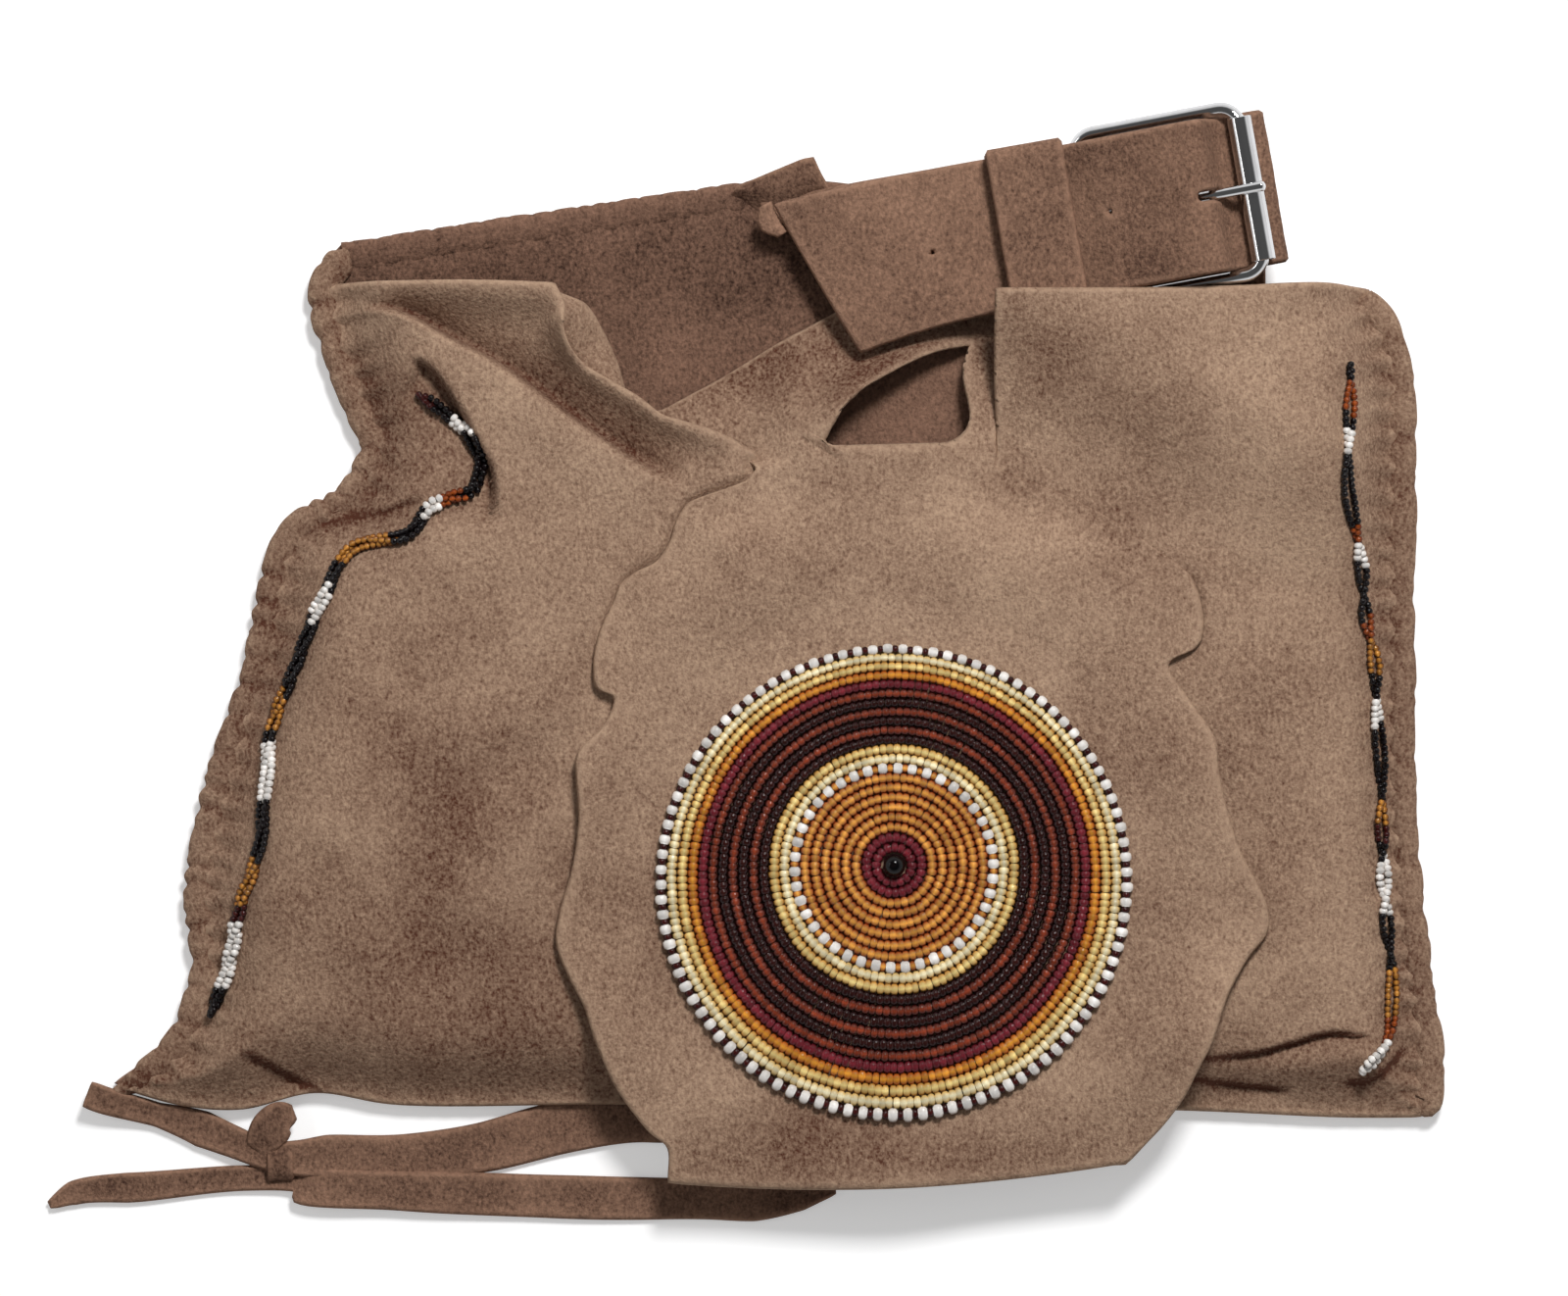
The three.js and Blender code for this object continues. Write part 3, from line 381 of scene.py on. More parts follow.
def rim_ways(upper: Array, quads: Array, rim_edges: Array) -> Array:
    """Find the ways out of a piece along its cut edge.

    Args:
        upper: Points of the outer face.
        quads: Faces between them.
        rim_edges: Pairs of points along the cut edge.

    Returns:
        A unit vector for each point of the edge, smoothed along it.
    """
    count, rim = len(upper), np.unique(rim_edges)
    pull, share = np.zeros((count, 3)), np.zeros(count)
    for k in range(4):
        np.add.at(pull, quads[:, k], upper[quads].mean(axis=1))
        np.add.at(share, quads[:, k], 1.0)
    outward = np.zeros((count, 3))
    outward[rim] = upper[rim] - pull[rim] / share[rim, None]
    for _ in range(RIM_SMOOTHINGS):
        outward /= np.maximum(np.linalg.norm(outward, axis=1, keepdims=True), TINY)
        spread = outward.copy()
        np.add.at(spread, rim_edges[:, 0], outward[rim_edges[:, 1]])
        np.add.at(spread, rim_edges[:, 1], outward[rim_edges[:, 0]])
        outward = spread
    return outward[rim] / np.maximum(np.linalg.norm(outward[rim], axis=1, keepdims=True), TINY)


def edge_wear(count: int, quads: Array, rim: Array) -> Array:
    """Wear of the nap at each point, full along the cut edge and fading over the rows next to it."""
    edge = np.zeros(count)
    edge[rim] = 1.0
    for fade in WEAR_FADES:
        spread = edge[quads].max(axis=1) * fade
        for k in range(4):
            np.maximum.at(edge, quads[:, k], spread)
    return edge


def suede_piece(
    name: str, top: Array, under: Array, tone: Array, keep: Array | None = None, worn: Array | None = None
) -> bpy.types.Object:
    """Make a closed piece of suede between two grids, with a rounded rim.

    Args:
        name: Name of the piece.
        top: Grid of points on the outer face.
        under: Grid of points on the inner face.
        tone: Lighter or darker colour at each grid point, about -1 to 1: the nap's own tone, with painted
            light and shade where the callers add them.
        keep: Faces of the grid that are there, if not all of them.
        worn: Share of the usual wear along a cut edge at each grid point.

    Returns:
        The piece, with its tone and its distance from a cut edge stored in it.
    """
    index = np.arange(top.shape[0] * top.shape[1]).reshape(top.shape[:2])
    quads = np.stack([index[:-1, :-1], index[:-1, 1:], index[1:, 1:], index[1:, :-1]], axis=-1)
    used, quads = np.unique(quads.reshape(-1, 4) if keep is None else quads[keep], return_inverse=True)
    quads = quads.reshape(-1, 4)
    upper, lower = top.reshape(-1, 3)[used], under.reshape(-1, 3)[used]
    count = len(used)
    edges = np.concatenate([quads[:, [k, (k + 1) % 4]] for k in range(4)])
    codes, back = edges[:, 0] * count + edges[:, 1], edges[:, 1] * count + edges[:, 0]
    rim_edges = edges[~np.isin(codes, back)]
    rim = np.unique(rim_edges)
    thick = np.linalg.norm(upper[rim] - lower[rim], axis=1, keepdims=True)
    middle = (upper[rim] + lower[rim]) / 2 + rim_ways(upper, quads, rim_edges) * thick * RIM_BULGE
    place = np.zeros(count, int)
    place[rim] = 2 * count + np.arange(len(rim))
    a, b = rim_edges[:, 0], rim_edges[:, 1]
    faces = np.concatenate([
        quads,
        quads[:, ::-1] + count,
        np.stack([b, a, place[a], place[b]], axis=1),
        np.stack([place[b], place[a], a + count, b + count], axis=1),
    ])
    piece = new_piece(name, np.concatenate([upper, lower, middle]), faces.tolist())
    wear = np.ones(count) if worn is None else worn.reshape(-1)[used]
    edge = edge_wear(count, quads, rim) * wear
    shade = tone.reshape(-1)[used]
    add_values(piece, "tone", np.concatenate([shade, shade, shade[rim]]))
    add_values(piece, "edge", np.concatenate([edge, edge, wear[rim]]))
    return piece


def take(piece: bpy.types.Object) -> None:
    """Select one piece alone and make it the active one."""
    bpy.ops.object.select_all(action="DESELECT")
    piece.select_set(True)
    bpy.context.view_layer.objects.active = piece


def pick_faces(piece: bpy.types.Object, wanted: Callable[[bpy.types.MeshPolygon], bool]) -> None:
    """Go into edit mode with only the wanted faces of the active piece selected."""
    bpy.ops.object.mode_set(mode="EDIT")
    bpy.ops.mesh.select_mode(type="FACE")
    bpy.ops.mesh.select_all(action="DESELECT")
    bpy.ops.object.mode_set(mode="OBJECT")
    for polygon in piece.data.polygons:
        polygon.select = wanted(polygon)
    bpy.ops.object.mode_set(mode="EDIT")


def seat(
    piece: bpy.types.Object, finish: bpy.types.Material, body: str, slot: Slot, *nodes: str
) -> bpy.types.Object:
    """Dress a piece, let it ride on a body, and hide the solids that it stands for.

    Args:
        piece: The piece.
        finish: Its material.
        body: Body of the frame that it moves with.
        slot: Material slot of the record; not used.
        nodes: Solids that it takes the place of.

    Returns:
        The piece.
    """
    piece.data.materials.append(finish)
    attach(piece, body)
    if nodes:
        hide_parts(*nodes)
    LOG.info("%s: %d faces on %s", piece.name, len(piece.data.polygons), body)
    return piece


def linear(red: int, green: int, blue: int) -> tuple[float, float, float]:
    """Turn a screen colour into the linear colour that shaders take."""
    shares = (red / 255, green / 255, blue / 255)
    return tuple(((c + 0.055) / 1.055) ** 2.4 if c > 0.04 else c / 12.92 for c in shares)


class Wiring:
    """Adds nodes to one node tree and links them."""

    def __init__(self, tree: bpy.types.NodeTree) -> None:
        """Take the tree to work on."""
        self.tree = tree

    def add(self, kind: str, values: dict | None = None, **settings: object) -> bpy.types.Node:
        """Add a node.

        Args:
            kind: Node type.
            values: Input names or numbers, each with a plain value or a socket to link from.
            settings: Properties of the node.

        Returns:
            The new node.
        """
        node = self.tree.nodes.new(kind)
        for name, value in settings.items():
            setattr(node, name, value)
        for name, value in (values or {}).items():
            if isinstance(value, bpy.types.NodeSocket):
                self.tree.links.new(value, node.inputs[name])
            else:
                node.inputs[name].default_value = value
        return node

    def math(self, operation: str, *values: object) -> bpy.types.NodeSocket:
        """Add a math node and return its result."""
        return self.add("ShaderNodeMath", dict(enumerate(values)), operation=operation).outputs[0]

    def speckle(self, place: bpy.types.NodeSocket, scale: float, detail: float) -> bpy.types.NodeSocket:
        """Add a noise texture and return its value, centred on 0."""
        values = {"Vector": place, "Scale": scale, "Detail": detail, "Roughness": 0.62}
        texture = self.add("ShaderNodeTexNoise", values)
        return self.math("SUBTRACT", texture.outputs[0], 0.5)

    def blend(self, share: object, first: object, second: object) -> bpy.types.NodeSocket:
        """Mix two colours and return the result."""
        values = {0: share, 6: first, 7: second}
        return self.add("ShaderNodeMix", values, data_type="RGBA").outputs[2]

    def shown(self) -> bpy.types.NodeSocket:
        """Give 1 for rays that show a surface, and 0 for rays that only carry its light to others."""
        path = self.add("ShaderNodeLightPath").outputs
        mirrored = self.math("MAXIMUM", path["Is Camera Ray"], path["Is Glossy Ray"])
        return self.math("MAXIMUM", mirrored, path["Is Transmission Ray"])


def nap_group() -> bpy.types.NodeTree:
    """Make the suede nap that all suede finishes share.

    Returns:
        A group with the nap's colour and the height of its fibres.
    """
    tree = bpy.data.node_groups.new("suede_nap", "ShaderNodeTree")
    for name, kind in (("Light", "Color"), ("Deep", "Color"), ("Tone", "Float"), ("Edge", "Float")):
        tree.interface.new_socket(name, in_out="INPUT", socket_type=f"NodeSocket{kind}")
    for name, kind in (("Color", "Color"), ("Height", "Float")):
        tree.interface.new_socket(name, in_out="OUTPUT", socket_type=f"NodeSocket{kind}")
    wires = Wiring(tree)
    given = wires.add("NodeGroupInput").outputs
    place = wires.add("ShaderNodeTexCoord").outputs["Object"]
    turned = {"Vector": place, "Rotation": (0.0, 0.0, 0.5), "Scale": (1.0, 0.55, 1.0)}
    brushed = wires.add("ShaderNodeMapping", turned).outputs[0]
    fibre = wires.speckle(place, 1500.0, 3.0)
    strokes = wires.speckle(brushed, 1300.0, 2.0)
    clump = wires.speckle(place, 520.0, 3.0)
    mottle = wires.speckle(place, 70.0, 5.0)
    broad = wires.speckle(place, 17.0, 2.0)
    share = wires.math("MULTIPLY_ADD", given["Tone"], 0.5, 0.5)
    for layer, weight in ((fibre, 1.25), (strokes, 0.95), (clump, 0.3), (mottle, 0.55), (broad, 0.55)):
        share = wires.math("MULTIPLY_ADD", layer, weight, share)
    share = wires.math("MINIMUM", wires.math("MAXIMUM", share, 0.0), 1.0)
    body = wires.blend(share, given["Deep"], given["Light"])
    fray = wires.math("MULTIPLY", given["Edge"], wires.math("MULTIPLY_ADD", clump, 1.5, 0.45))
    color = wires.blend(fray, body, given["Light"])
    relief = wires.math("MULTIPLY_ADD", clump, 0.6, wires.math("MULTIPLY_ADD", strokes, 0.8, fibre))
    wires.add("NodeGroupOutput", {"Color": color, "Height": relief})
    return tree


@dataclass(frozen=True)
class SuedeFinish:
    """Napped suede, lighter or darker by its tone, which holds the nap's own tone and painted light and
    shade, and lighter along its cut edges.
    """

    name: str
    light: tuple[float, float, float]
    deep: tuple[float, float, float]
    sheen: float = 0.18
    sheen_roughness: float = 0.5
    roughness: float = 0.95
    specular: float = 0.15
    bump: float = 0.55
    fibre: float = 0.5 * MM

    def material(self, nap: bpy.types.NodeTree) -> bpy.types.Material:
        """Make the material from the shared nap."""
        material = bpy.data.materials.new(self.name)
        material.use_nodes = True
        wires = Wiring(material.node_tree)
        shader = material.node_tree.nodes["Principled BSDF"]
        tone = wires.add("ShaderNodeAttribute", attribute_name="tone").outputs["Fac"]
        edge = wires.add("ShaderNodeAttribute", attribute_name="edge").outputs["Fac"]
        values = {"Light": (*self.light, 1.0), "Deep": (*self.deep, 1.0), "Tone": tone, "Edge": edge}
        group = wires.add("ShaderNodeGroup", values, node_tree=nap)
        heights = {"Strength": self.bump, "Distance": self.fibre, "Height": group.outputs["Height"]}
        bump = wires.add("ShaderNodeBump", heights)
        wires.tree.links.new(group.outputs["Color"], shader.inputs["Base Color"])
        wires.tree.links.new(bump.outputs[0], shader.inputs["Normal"])
        shader.inputs["Roughness"].default_value = self.roughness
        shader.inputs["Specular IOR Level"].default_value = self.specular
        shader.inputs["Sheen Weight"].default_value = self.sheen
        shader.inputs["Sheen Roughness"].default_value = self.sheen_roughness
        shader.inputs["Sheen Tint"].default_value = (*self.light, 1.0)
        return material


@dataclass(frozen=True)
class BeadFinish:
    """Glossy seed bead glass, its colour stored in the beads."""

    name: str = "seed_bead_glass"
    deep: tuple[float, float, float] = (0.02, 0.008, 0.006)
    cloud: tuple[float, float] = (0.6, 0.08)
    roughness: tuple[float, float] = (0.12, 0.11)
    specular: float = 0.2

    def material(self) -> bpy.types.Material:
        """Make the material."""
        material = bpy.data.materials.new(self.name)
        material.use_nodes = True
        wires = Wiring(material.node_tree)
        shader = material.node_tree.nodes["Principled BSDF"]
        glaze = wires.add("ShaderNodeAttribute", attribute_name="glaze").outputs["Color"]
        place = wires.add("ShaderNodeTexCoord").outputs["Object"]
        deeper = wires.math("MULTIPLY_ADD", wires.speckle(place, 700.0, 2.0), *self.cloud)
        color = wires.blend(deeper, glaze, (*self.deep, 1.0))
        rough = wires.math("MULTIPLY_ADD", wires.speckle(place, 1600.0, 2.0), *self.roughness)
        wires.tree.links.new(color, shader.inputs["Base Color"])
        wires.tree.links.new(rough, shader.inputs["Roughness"])
        shader.inputs["Specular IOR Level"].default_value = self.specular
        return material


@dataclass(frozen=True)
class ChromeFinish:
    """Bright plated wire with faint smears and fine scratches."""

    name: str = "buckle_chrome"
    color: tuple[float, float, float] = (0.62, 0.62, 0.63)
    dull: tuple[float, float, float] = (0.26, 0.25, 0.24)
    smears: tuple[float, float] = (0.8, 0.1)
    smear_roughness: float = 0.18
    scratch_roughness: tuple[float, float] = (0.06, 0.1)

    def material(self) -> bpy.types.Material:
        """Make the material."""
        material = bpy.data.materials.new(self.name)
        material.use_nodes = True
        wires = Wiring(material.node_tree)
        shader = material.node_tree.nodes["Principled BSDF"]
        place = wires.add("ShaderNodeTexCoord").outputs["Object"]
        smear = wires.speckle(place, 160.0, 4.0)
        stretched = wires.add("ShaderNodeMapping", {"Vector": place, "Scale": (1.0, 0.08, 1.0)}).outputs[0]
        scratch = wires.speckle(stretched, 2600.0, 2.0)
        fine = wires.math("MULTIPLY_ADD", scratch, *self.scratch_roughness)
        rough = wires.math("MULTIPLY_ADD", smear, self.smear_roughness, fine)
        share = wires.math("MULTIPLY_ADD", smear, *self.smears)
        color = wires.blend(share, (*self.color, 1.0), (*self.dull, 1.0))
        wires.tree.links.new(color, shader.inputs["Base Color"])
        wires.tree.links.new(rough, shader.inputs["Roughness"])
        shader.inputs["Metallic"].default_value = 1.0
        return material


class Finishes:
    """All finishes of the bag, each made once."""

    def __init__(self) -> None:
        """Make the materials."""
        nap = nap_group()
        bag = SuedeFinish("bag_suede", linear(184, 154, 129), linear(82, 47, 34))
        # A darker copy of the bag suede for the back panel's inner face and the hem roll: partly the inner
        # face's own tone, partly painted shade on that face inside the mouth.
        inner = SuedeFinish("bag_inner_shaded_suede", linear(146, 111, 92), linear(54, 36, 28))
        strap = SuedeFinish("strap_suede", linear(160, 124, 102), linear(68, 46, 37))
        self.bag = bag.material(nap)
        self.inner = inner.material(nap)
        self.strap = strap.material(nap)
        self.beads = BeadFinish().material()
        self.chrome = ChromeFinish().material()


@dataclass
class Studio:
    """White table, soft lights and the camera straight above the bag."""

    middle: tuple[float, float] = (-22.95, 45.3)
    view_width: float = 327.9
    level: float = 10.0
    distance: float = 2000.0
    sensor: float = 36.0
    far: float = 20.0
    key_power: float = 14.3
    key_size: float = 0.26
    key_distance: float = 1.3
    key_height: float = 56.0
    key_lean: float = 0.2
    strip_power: float = 1.2
    strip_sides: tuple[float, float] = (0.7, 0.07)
    strip_way: tuple[float, float, float] = (-0.74, 0.1, 0.66)
    world_level: float = 0.21
    ceiling_level: float = 0.1
    ceiling_heights: tuple[float, float] = (0.4, 0.75)
    floor_size: float = 6.0
    floor_grey: float = 0.86
    floor_roughness: float = 0.9
    floor_lift: float = 0.35

    def build(self) -> None:
        """Make the camera, the lights, the world and the floor, and show colours as they are."""
        self.add_camera()
        self.add_key()
        self.add_strip()
        self.add_world()
        self.add_floor()
        bpy.context.scene.view_settings.view_transform = "Standard"

    def add_camera(self) -> None:
        """Look straight down, with the photo's frame just filled."""
        lens = bpy.data.cameras.new("camera")
        lens.sensor_width = self.sensor
        lens.lens = self.sensor * (self.distance - self.level) / self.view_width
        lens.clip_end = self.far
        camera = bpy.data.objects.new("camera", lens)
        camera.location = Vector((*self.middle, self.distance)) * MM
        bpy.context.collection.objects.link(camera)
        bpy.context.scene.camera = camera

    def add_key(self) -> None:
        """Light the bag with one soft box from beyond its mouth."""
        light = bpy.data.lights.new("key", "AREA")
        light.energy = self.key_power
        light.size = self.key_size
        key = bpy.data.objects.new("key", light)
        rise = math.radians(self.key_height)
        away = Vector((self.key_lean, math.cos(rise), math.sin(rise))).normalized()
        key.location = Vector((*self.middle, 0.0)) * MM + away * self.key_distance
        key.rotation_euler = away.to_track_quat("Z", "Y").to_euler()
        bpy.context.collection.objects.link(key)

    def add_strip(self) -> None:
        """Add a weak strip light at the left, which the buckle's metal mirrors."""
        light = bpy.data.lights.new("strip", "AREA")
        light.shape = "RECTANGLE"
        light.energy = self.strip_power
        light.size, light.size_y = self.strip_sides
        strip = bpy.data.objects.new("strip", light)
        away = Vector(self.strip_way).normalized()
        strip.location = Vector((*self.middle, 0.0)) * MM + away * self.key_distance
        strip.rotation_euler = away.to_track_quat("Z", "Y").to_euler()
        bpy.context.collection.objects.link(strip)

    def add_world(self) -> None:
        """Fill with an even pale world that shows white round about and dim overhead."""
        world = bpy.data.worlds.new("studio")
        bpy.context.scene.world = world
        world.use_nodes = True
        wires = Wiring(world.node_tree)
        sky = world.node_tree.nodes["Background"]
        seen = wires.shown()
        way = wires.add("ShaderNodeTexCoord").outputs["Object"]
        rise = wires.add("ShaderNodeSeparateXYZ", {0: way}).outputs["Z"]
        low, high = self.ceiling_heights
        steps = {
            "Value": rise, "From Min": low, "From Max": high, "To Min": 1.0, "To Max": self.ceiling_level,
        }
        level = wires.add("ShaderNodeMapRange", steps, interpolation_type="SMOOTHSTEP").outputs[0]
        gain = wires.math("SUBTRACT", level, self.world_level)
        strength = wires.math("MULTIPLY_ADD", seen, gain, self.world_level)
        wires.tree.links.new(strength, sky.inputs["Strength"])
        sky.inputs["Color"].default_value = (1.0, 1.0, 1.0, 1.0)

    def add_floor(self) -> None:
        """Lay a pale floor that the camera sees as white, with the bag's shadow on it."""
        bpy.ops.object.select_all(action="DESELECT")
        bpy.ops.mesh.primitive_plane_add(size=self.floor_size)
        floor = bpy.context.object
        floor.name = "floor"
        material = bpy.data.materials.new("white_floor")
        material.use_nodes = True
        wires = Wiring(material.node_tree)
        shader = material.node_tree.nodes["Principled BSDF"]
        shader.inputs["Base Color"].default_value = (*[self.floor_grey] * 3, 1.0)
        shader.inputs["Roughness"].default_value = self.floor_roughness
        shader.inputs["Specular IOR Level"].default_value = 0.0
        shader.inputs["Emission Color"].default_value = (1.0, 1.0, 1.0, 1.0)
        seen = wires.shown()
        lift = wires.math("MULTIPLY", seen, self.floor_lift)
        wires.tree.links.new(lift, shader.inputs["Emission Strength"])
        floor.data.materials.append(material)


def panel_sides(side: float, base: float) -> tuple[Array, Array, Array]:
    """Left, bottom and right edges of a panel that stops short of the bag's outer edge."""
    left, bottom, right = inset(LEFT_LINE, side), inset(BOTTOM_LINE, base), inset(RIGHT_LINE, side)
    low_left = crossing(left[-2], left[-1], bottom[0], bottom[1])
    low_right = crossing(bottom[-2], bottom[-1], right[0], right[1])
    left[-1], bottom[0], bottom[-1], right[0] = low_left, low_left, low_right, low_right
    return left, bottom, right


def stretched_net(sides: tuple[Array, Array, Array], top: Array, columns: int, rows: int) -> Array:
    """Stretch a grid between four edges, with its rows closer together at the bottom and the top.

    Args:
        sides: Left, bottom and right edges, counter-clockwise.
        top: Top edge from left to right.
        columns: Number of faces across.
        rows: Number of faces from bottom to top.

    Returns:
        Grid of points in the plan, bottom row first.
    """
    even = np.linspace(0.0, 1.0, rows + 1)
    close = even - NET_CROWDING * np.sin(2 * math.pi * even)
    walk = np.linspace(0.0, 1.0, NET_WALK + 1)
    upright = [curve(side, NET_WALK, NET_PACE[::-1]) for side in (sides[0][::-1], sides[2])]
    left, right = (
        np.stack([np.interp(close, walk, side[:, k]) for k in (0, 1)], axis=1) for side in upright
    )
    bottom = curve(sides[1], columns, NET_PACE)
    upper = curve(top, columns, NET_PACE)
    u = np.linspace(0.0, 1.0, columns + 1)[None, :, None]
    v = close[:, None, None]
    net = (1 - v) * bottom[None] + v * upper[None] + (1 - u) * left[:, None] + u * right[:, None]
    corners = (1 - u) * (1 - v) * bottom[0] + u * (1 - v) * bottom[-1]
    return net - corners - (1 - u) * v * upper[0] - u * v * upper[-1]


@dataclass(frozen=True)
class Fold:
    """Ridge or crease of the suede along a line."""

    line: Route
    rise: float
    reach: float
    # Tone along the fold: lighter on a ridge and darker in a crease, partly worn nap and partly painted light
    # and shade.
    tone: float


@dataclass(frozen=True)
class Overlap:
    """Fold that stands over a valley left of its crest; a sharp one also cuts the seam's slope."""

    END_FADES = (0.16, 0.12)
    # Painted shadow along the crease: where it lies past the crest, how wide it is, and how dark it is for a
    # soft and for a sharp fold.
    CREASE_PLACE = 0.6
    CREASE_REACH = 0.8
    CREASE_PAINTED_SHADE = 0.5
    SHARP_PAINTED_SHADE = 1.1

    line: Route
    depth: float
    drop: float
    reach: float
    # Tone over the valley, partly the nap and partly painted shade.
    tone: float
    sharp: bool = False

    def press(self, flat: Array) -> tuple[Array, Array]:
        """Depth of the valley at points in the plan, and the change of tone there: darker over the valley,
        partly the nap and partly painted shade, with a painted shadow along the crease.
        """
        away, share = beside(flat, curve(self.line, 70))
        ends = smooth(share / self.END_FADES[0]) * smooth((1.0 - share) / self.END_FADES[1])
        deep = smooth(away / self.drop) * np.exp(-np.maximum(away, 0.0) / self.reach) * ends
        # Painted shadow along the crease line.
        crease_shadow = bell(away - self.CREASE_PLACE * self.drop, self.CREASE_REACH) * ends
        shade = self.SHARP_PAINTED_SHADE if self.sharp else self.CREASE_PAINTED_SHADE
        return self.depth * deep, self.tone * deep - shade * crease_shadow


@dataclass
class BackPanel:
    """Suede back, whose inner face shows above the mouth."""

    tuck: float = 1.5
    ripple: float = 0.7
    ripple_size: float = 26.0
    calm_edge: float = 8.0
    gather: float = 0.35
    gather_pitch: float = 5.2
    base_tone: float = 0.1
    mottle: float = 0.3
    worn_edge: float = 0.3
    # Painted light: a lighter patch where the inner face shows through the hand hole.
    painted_light_spot: tuple[float, float] = (4.0, 93.0)
    painted_light_tone: float = 0.22
    # Painted shade: the inner face grows darker towards its top edge.
    painted_shade_zone: tuple[float, float] = (108.0, 16.0)
    painted_shade_tone: float = 0.42
    columns: int = 150
    rows: int = 110

    def build(self, finish: bpy.types.Material) -> bpy.types.Object:
        """Make the panel flat below and softly rippled above."""
        left, bottom, right = panel_sides(self.tuck, self.tuck)
        hem = inset(HEM_LINE, self.tuck)[::-1]
        top = np.vstack([left[:1], hem, np.array(BACK_TOP_RIGHT, float)[::-1], right[-1:]])
        plan = stretched_net((left, bottom, right), top, self.columns, self.rows)
        flat = plan.reshape(-1, 2)
        edge = np.vstack([left[::-1], hem])
        away, travel, _ = nearest(flat, edge)
        soft = self.ripple * (0.5 + 0.5 * wander(flat, self.ripple_size, 3.1)) * smooth(away / self.calm_edge)
        wave = np.sin(2 * math.pi * travel / self.gather_pitch + 2.0 * wander(flat, 9.0, 6.0))
        gathers = self.gather * wave * bell(away - 4.0, 5.0)
        height = BACK_TOP + np.maximum(soft + gathers, 0.0)
        grid = np.concatenate([flat, height[:, None]], axis=1).reshape(*plan.shape[:2], 3)
        under = grid.copy()
        under[..., 2] = 0.0
        tone = self.base_tone + self.mottle * wander(flat, 30.0, 8.0) + self.worn_edge * bell(away, 7.0)
        # Painted light on the inner face where it shows through the hand hole.
        light_through_hole = bell(np.hypot(flat[:, 0] - self.painted_light_spot[0], flat[:, 1] - self.painted_light_spot[1]), 14.0)
        # Painted shade, darker towards the top edge.
        tone += self.painted_light_tone * light_through_hole - self.painted_shade_tone * ramp(flat[:, 1], self.painted_shade_zone)
        piece = suede_piece("back_panel_suede", grid, under, tone)
        seat(piece, finish, "root", Slot.BAG, "back_panel")
        return piece


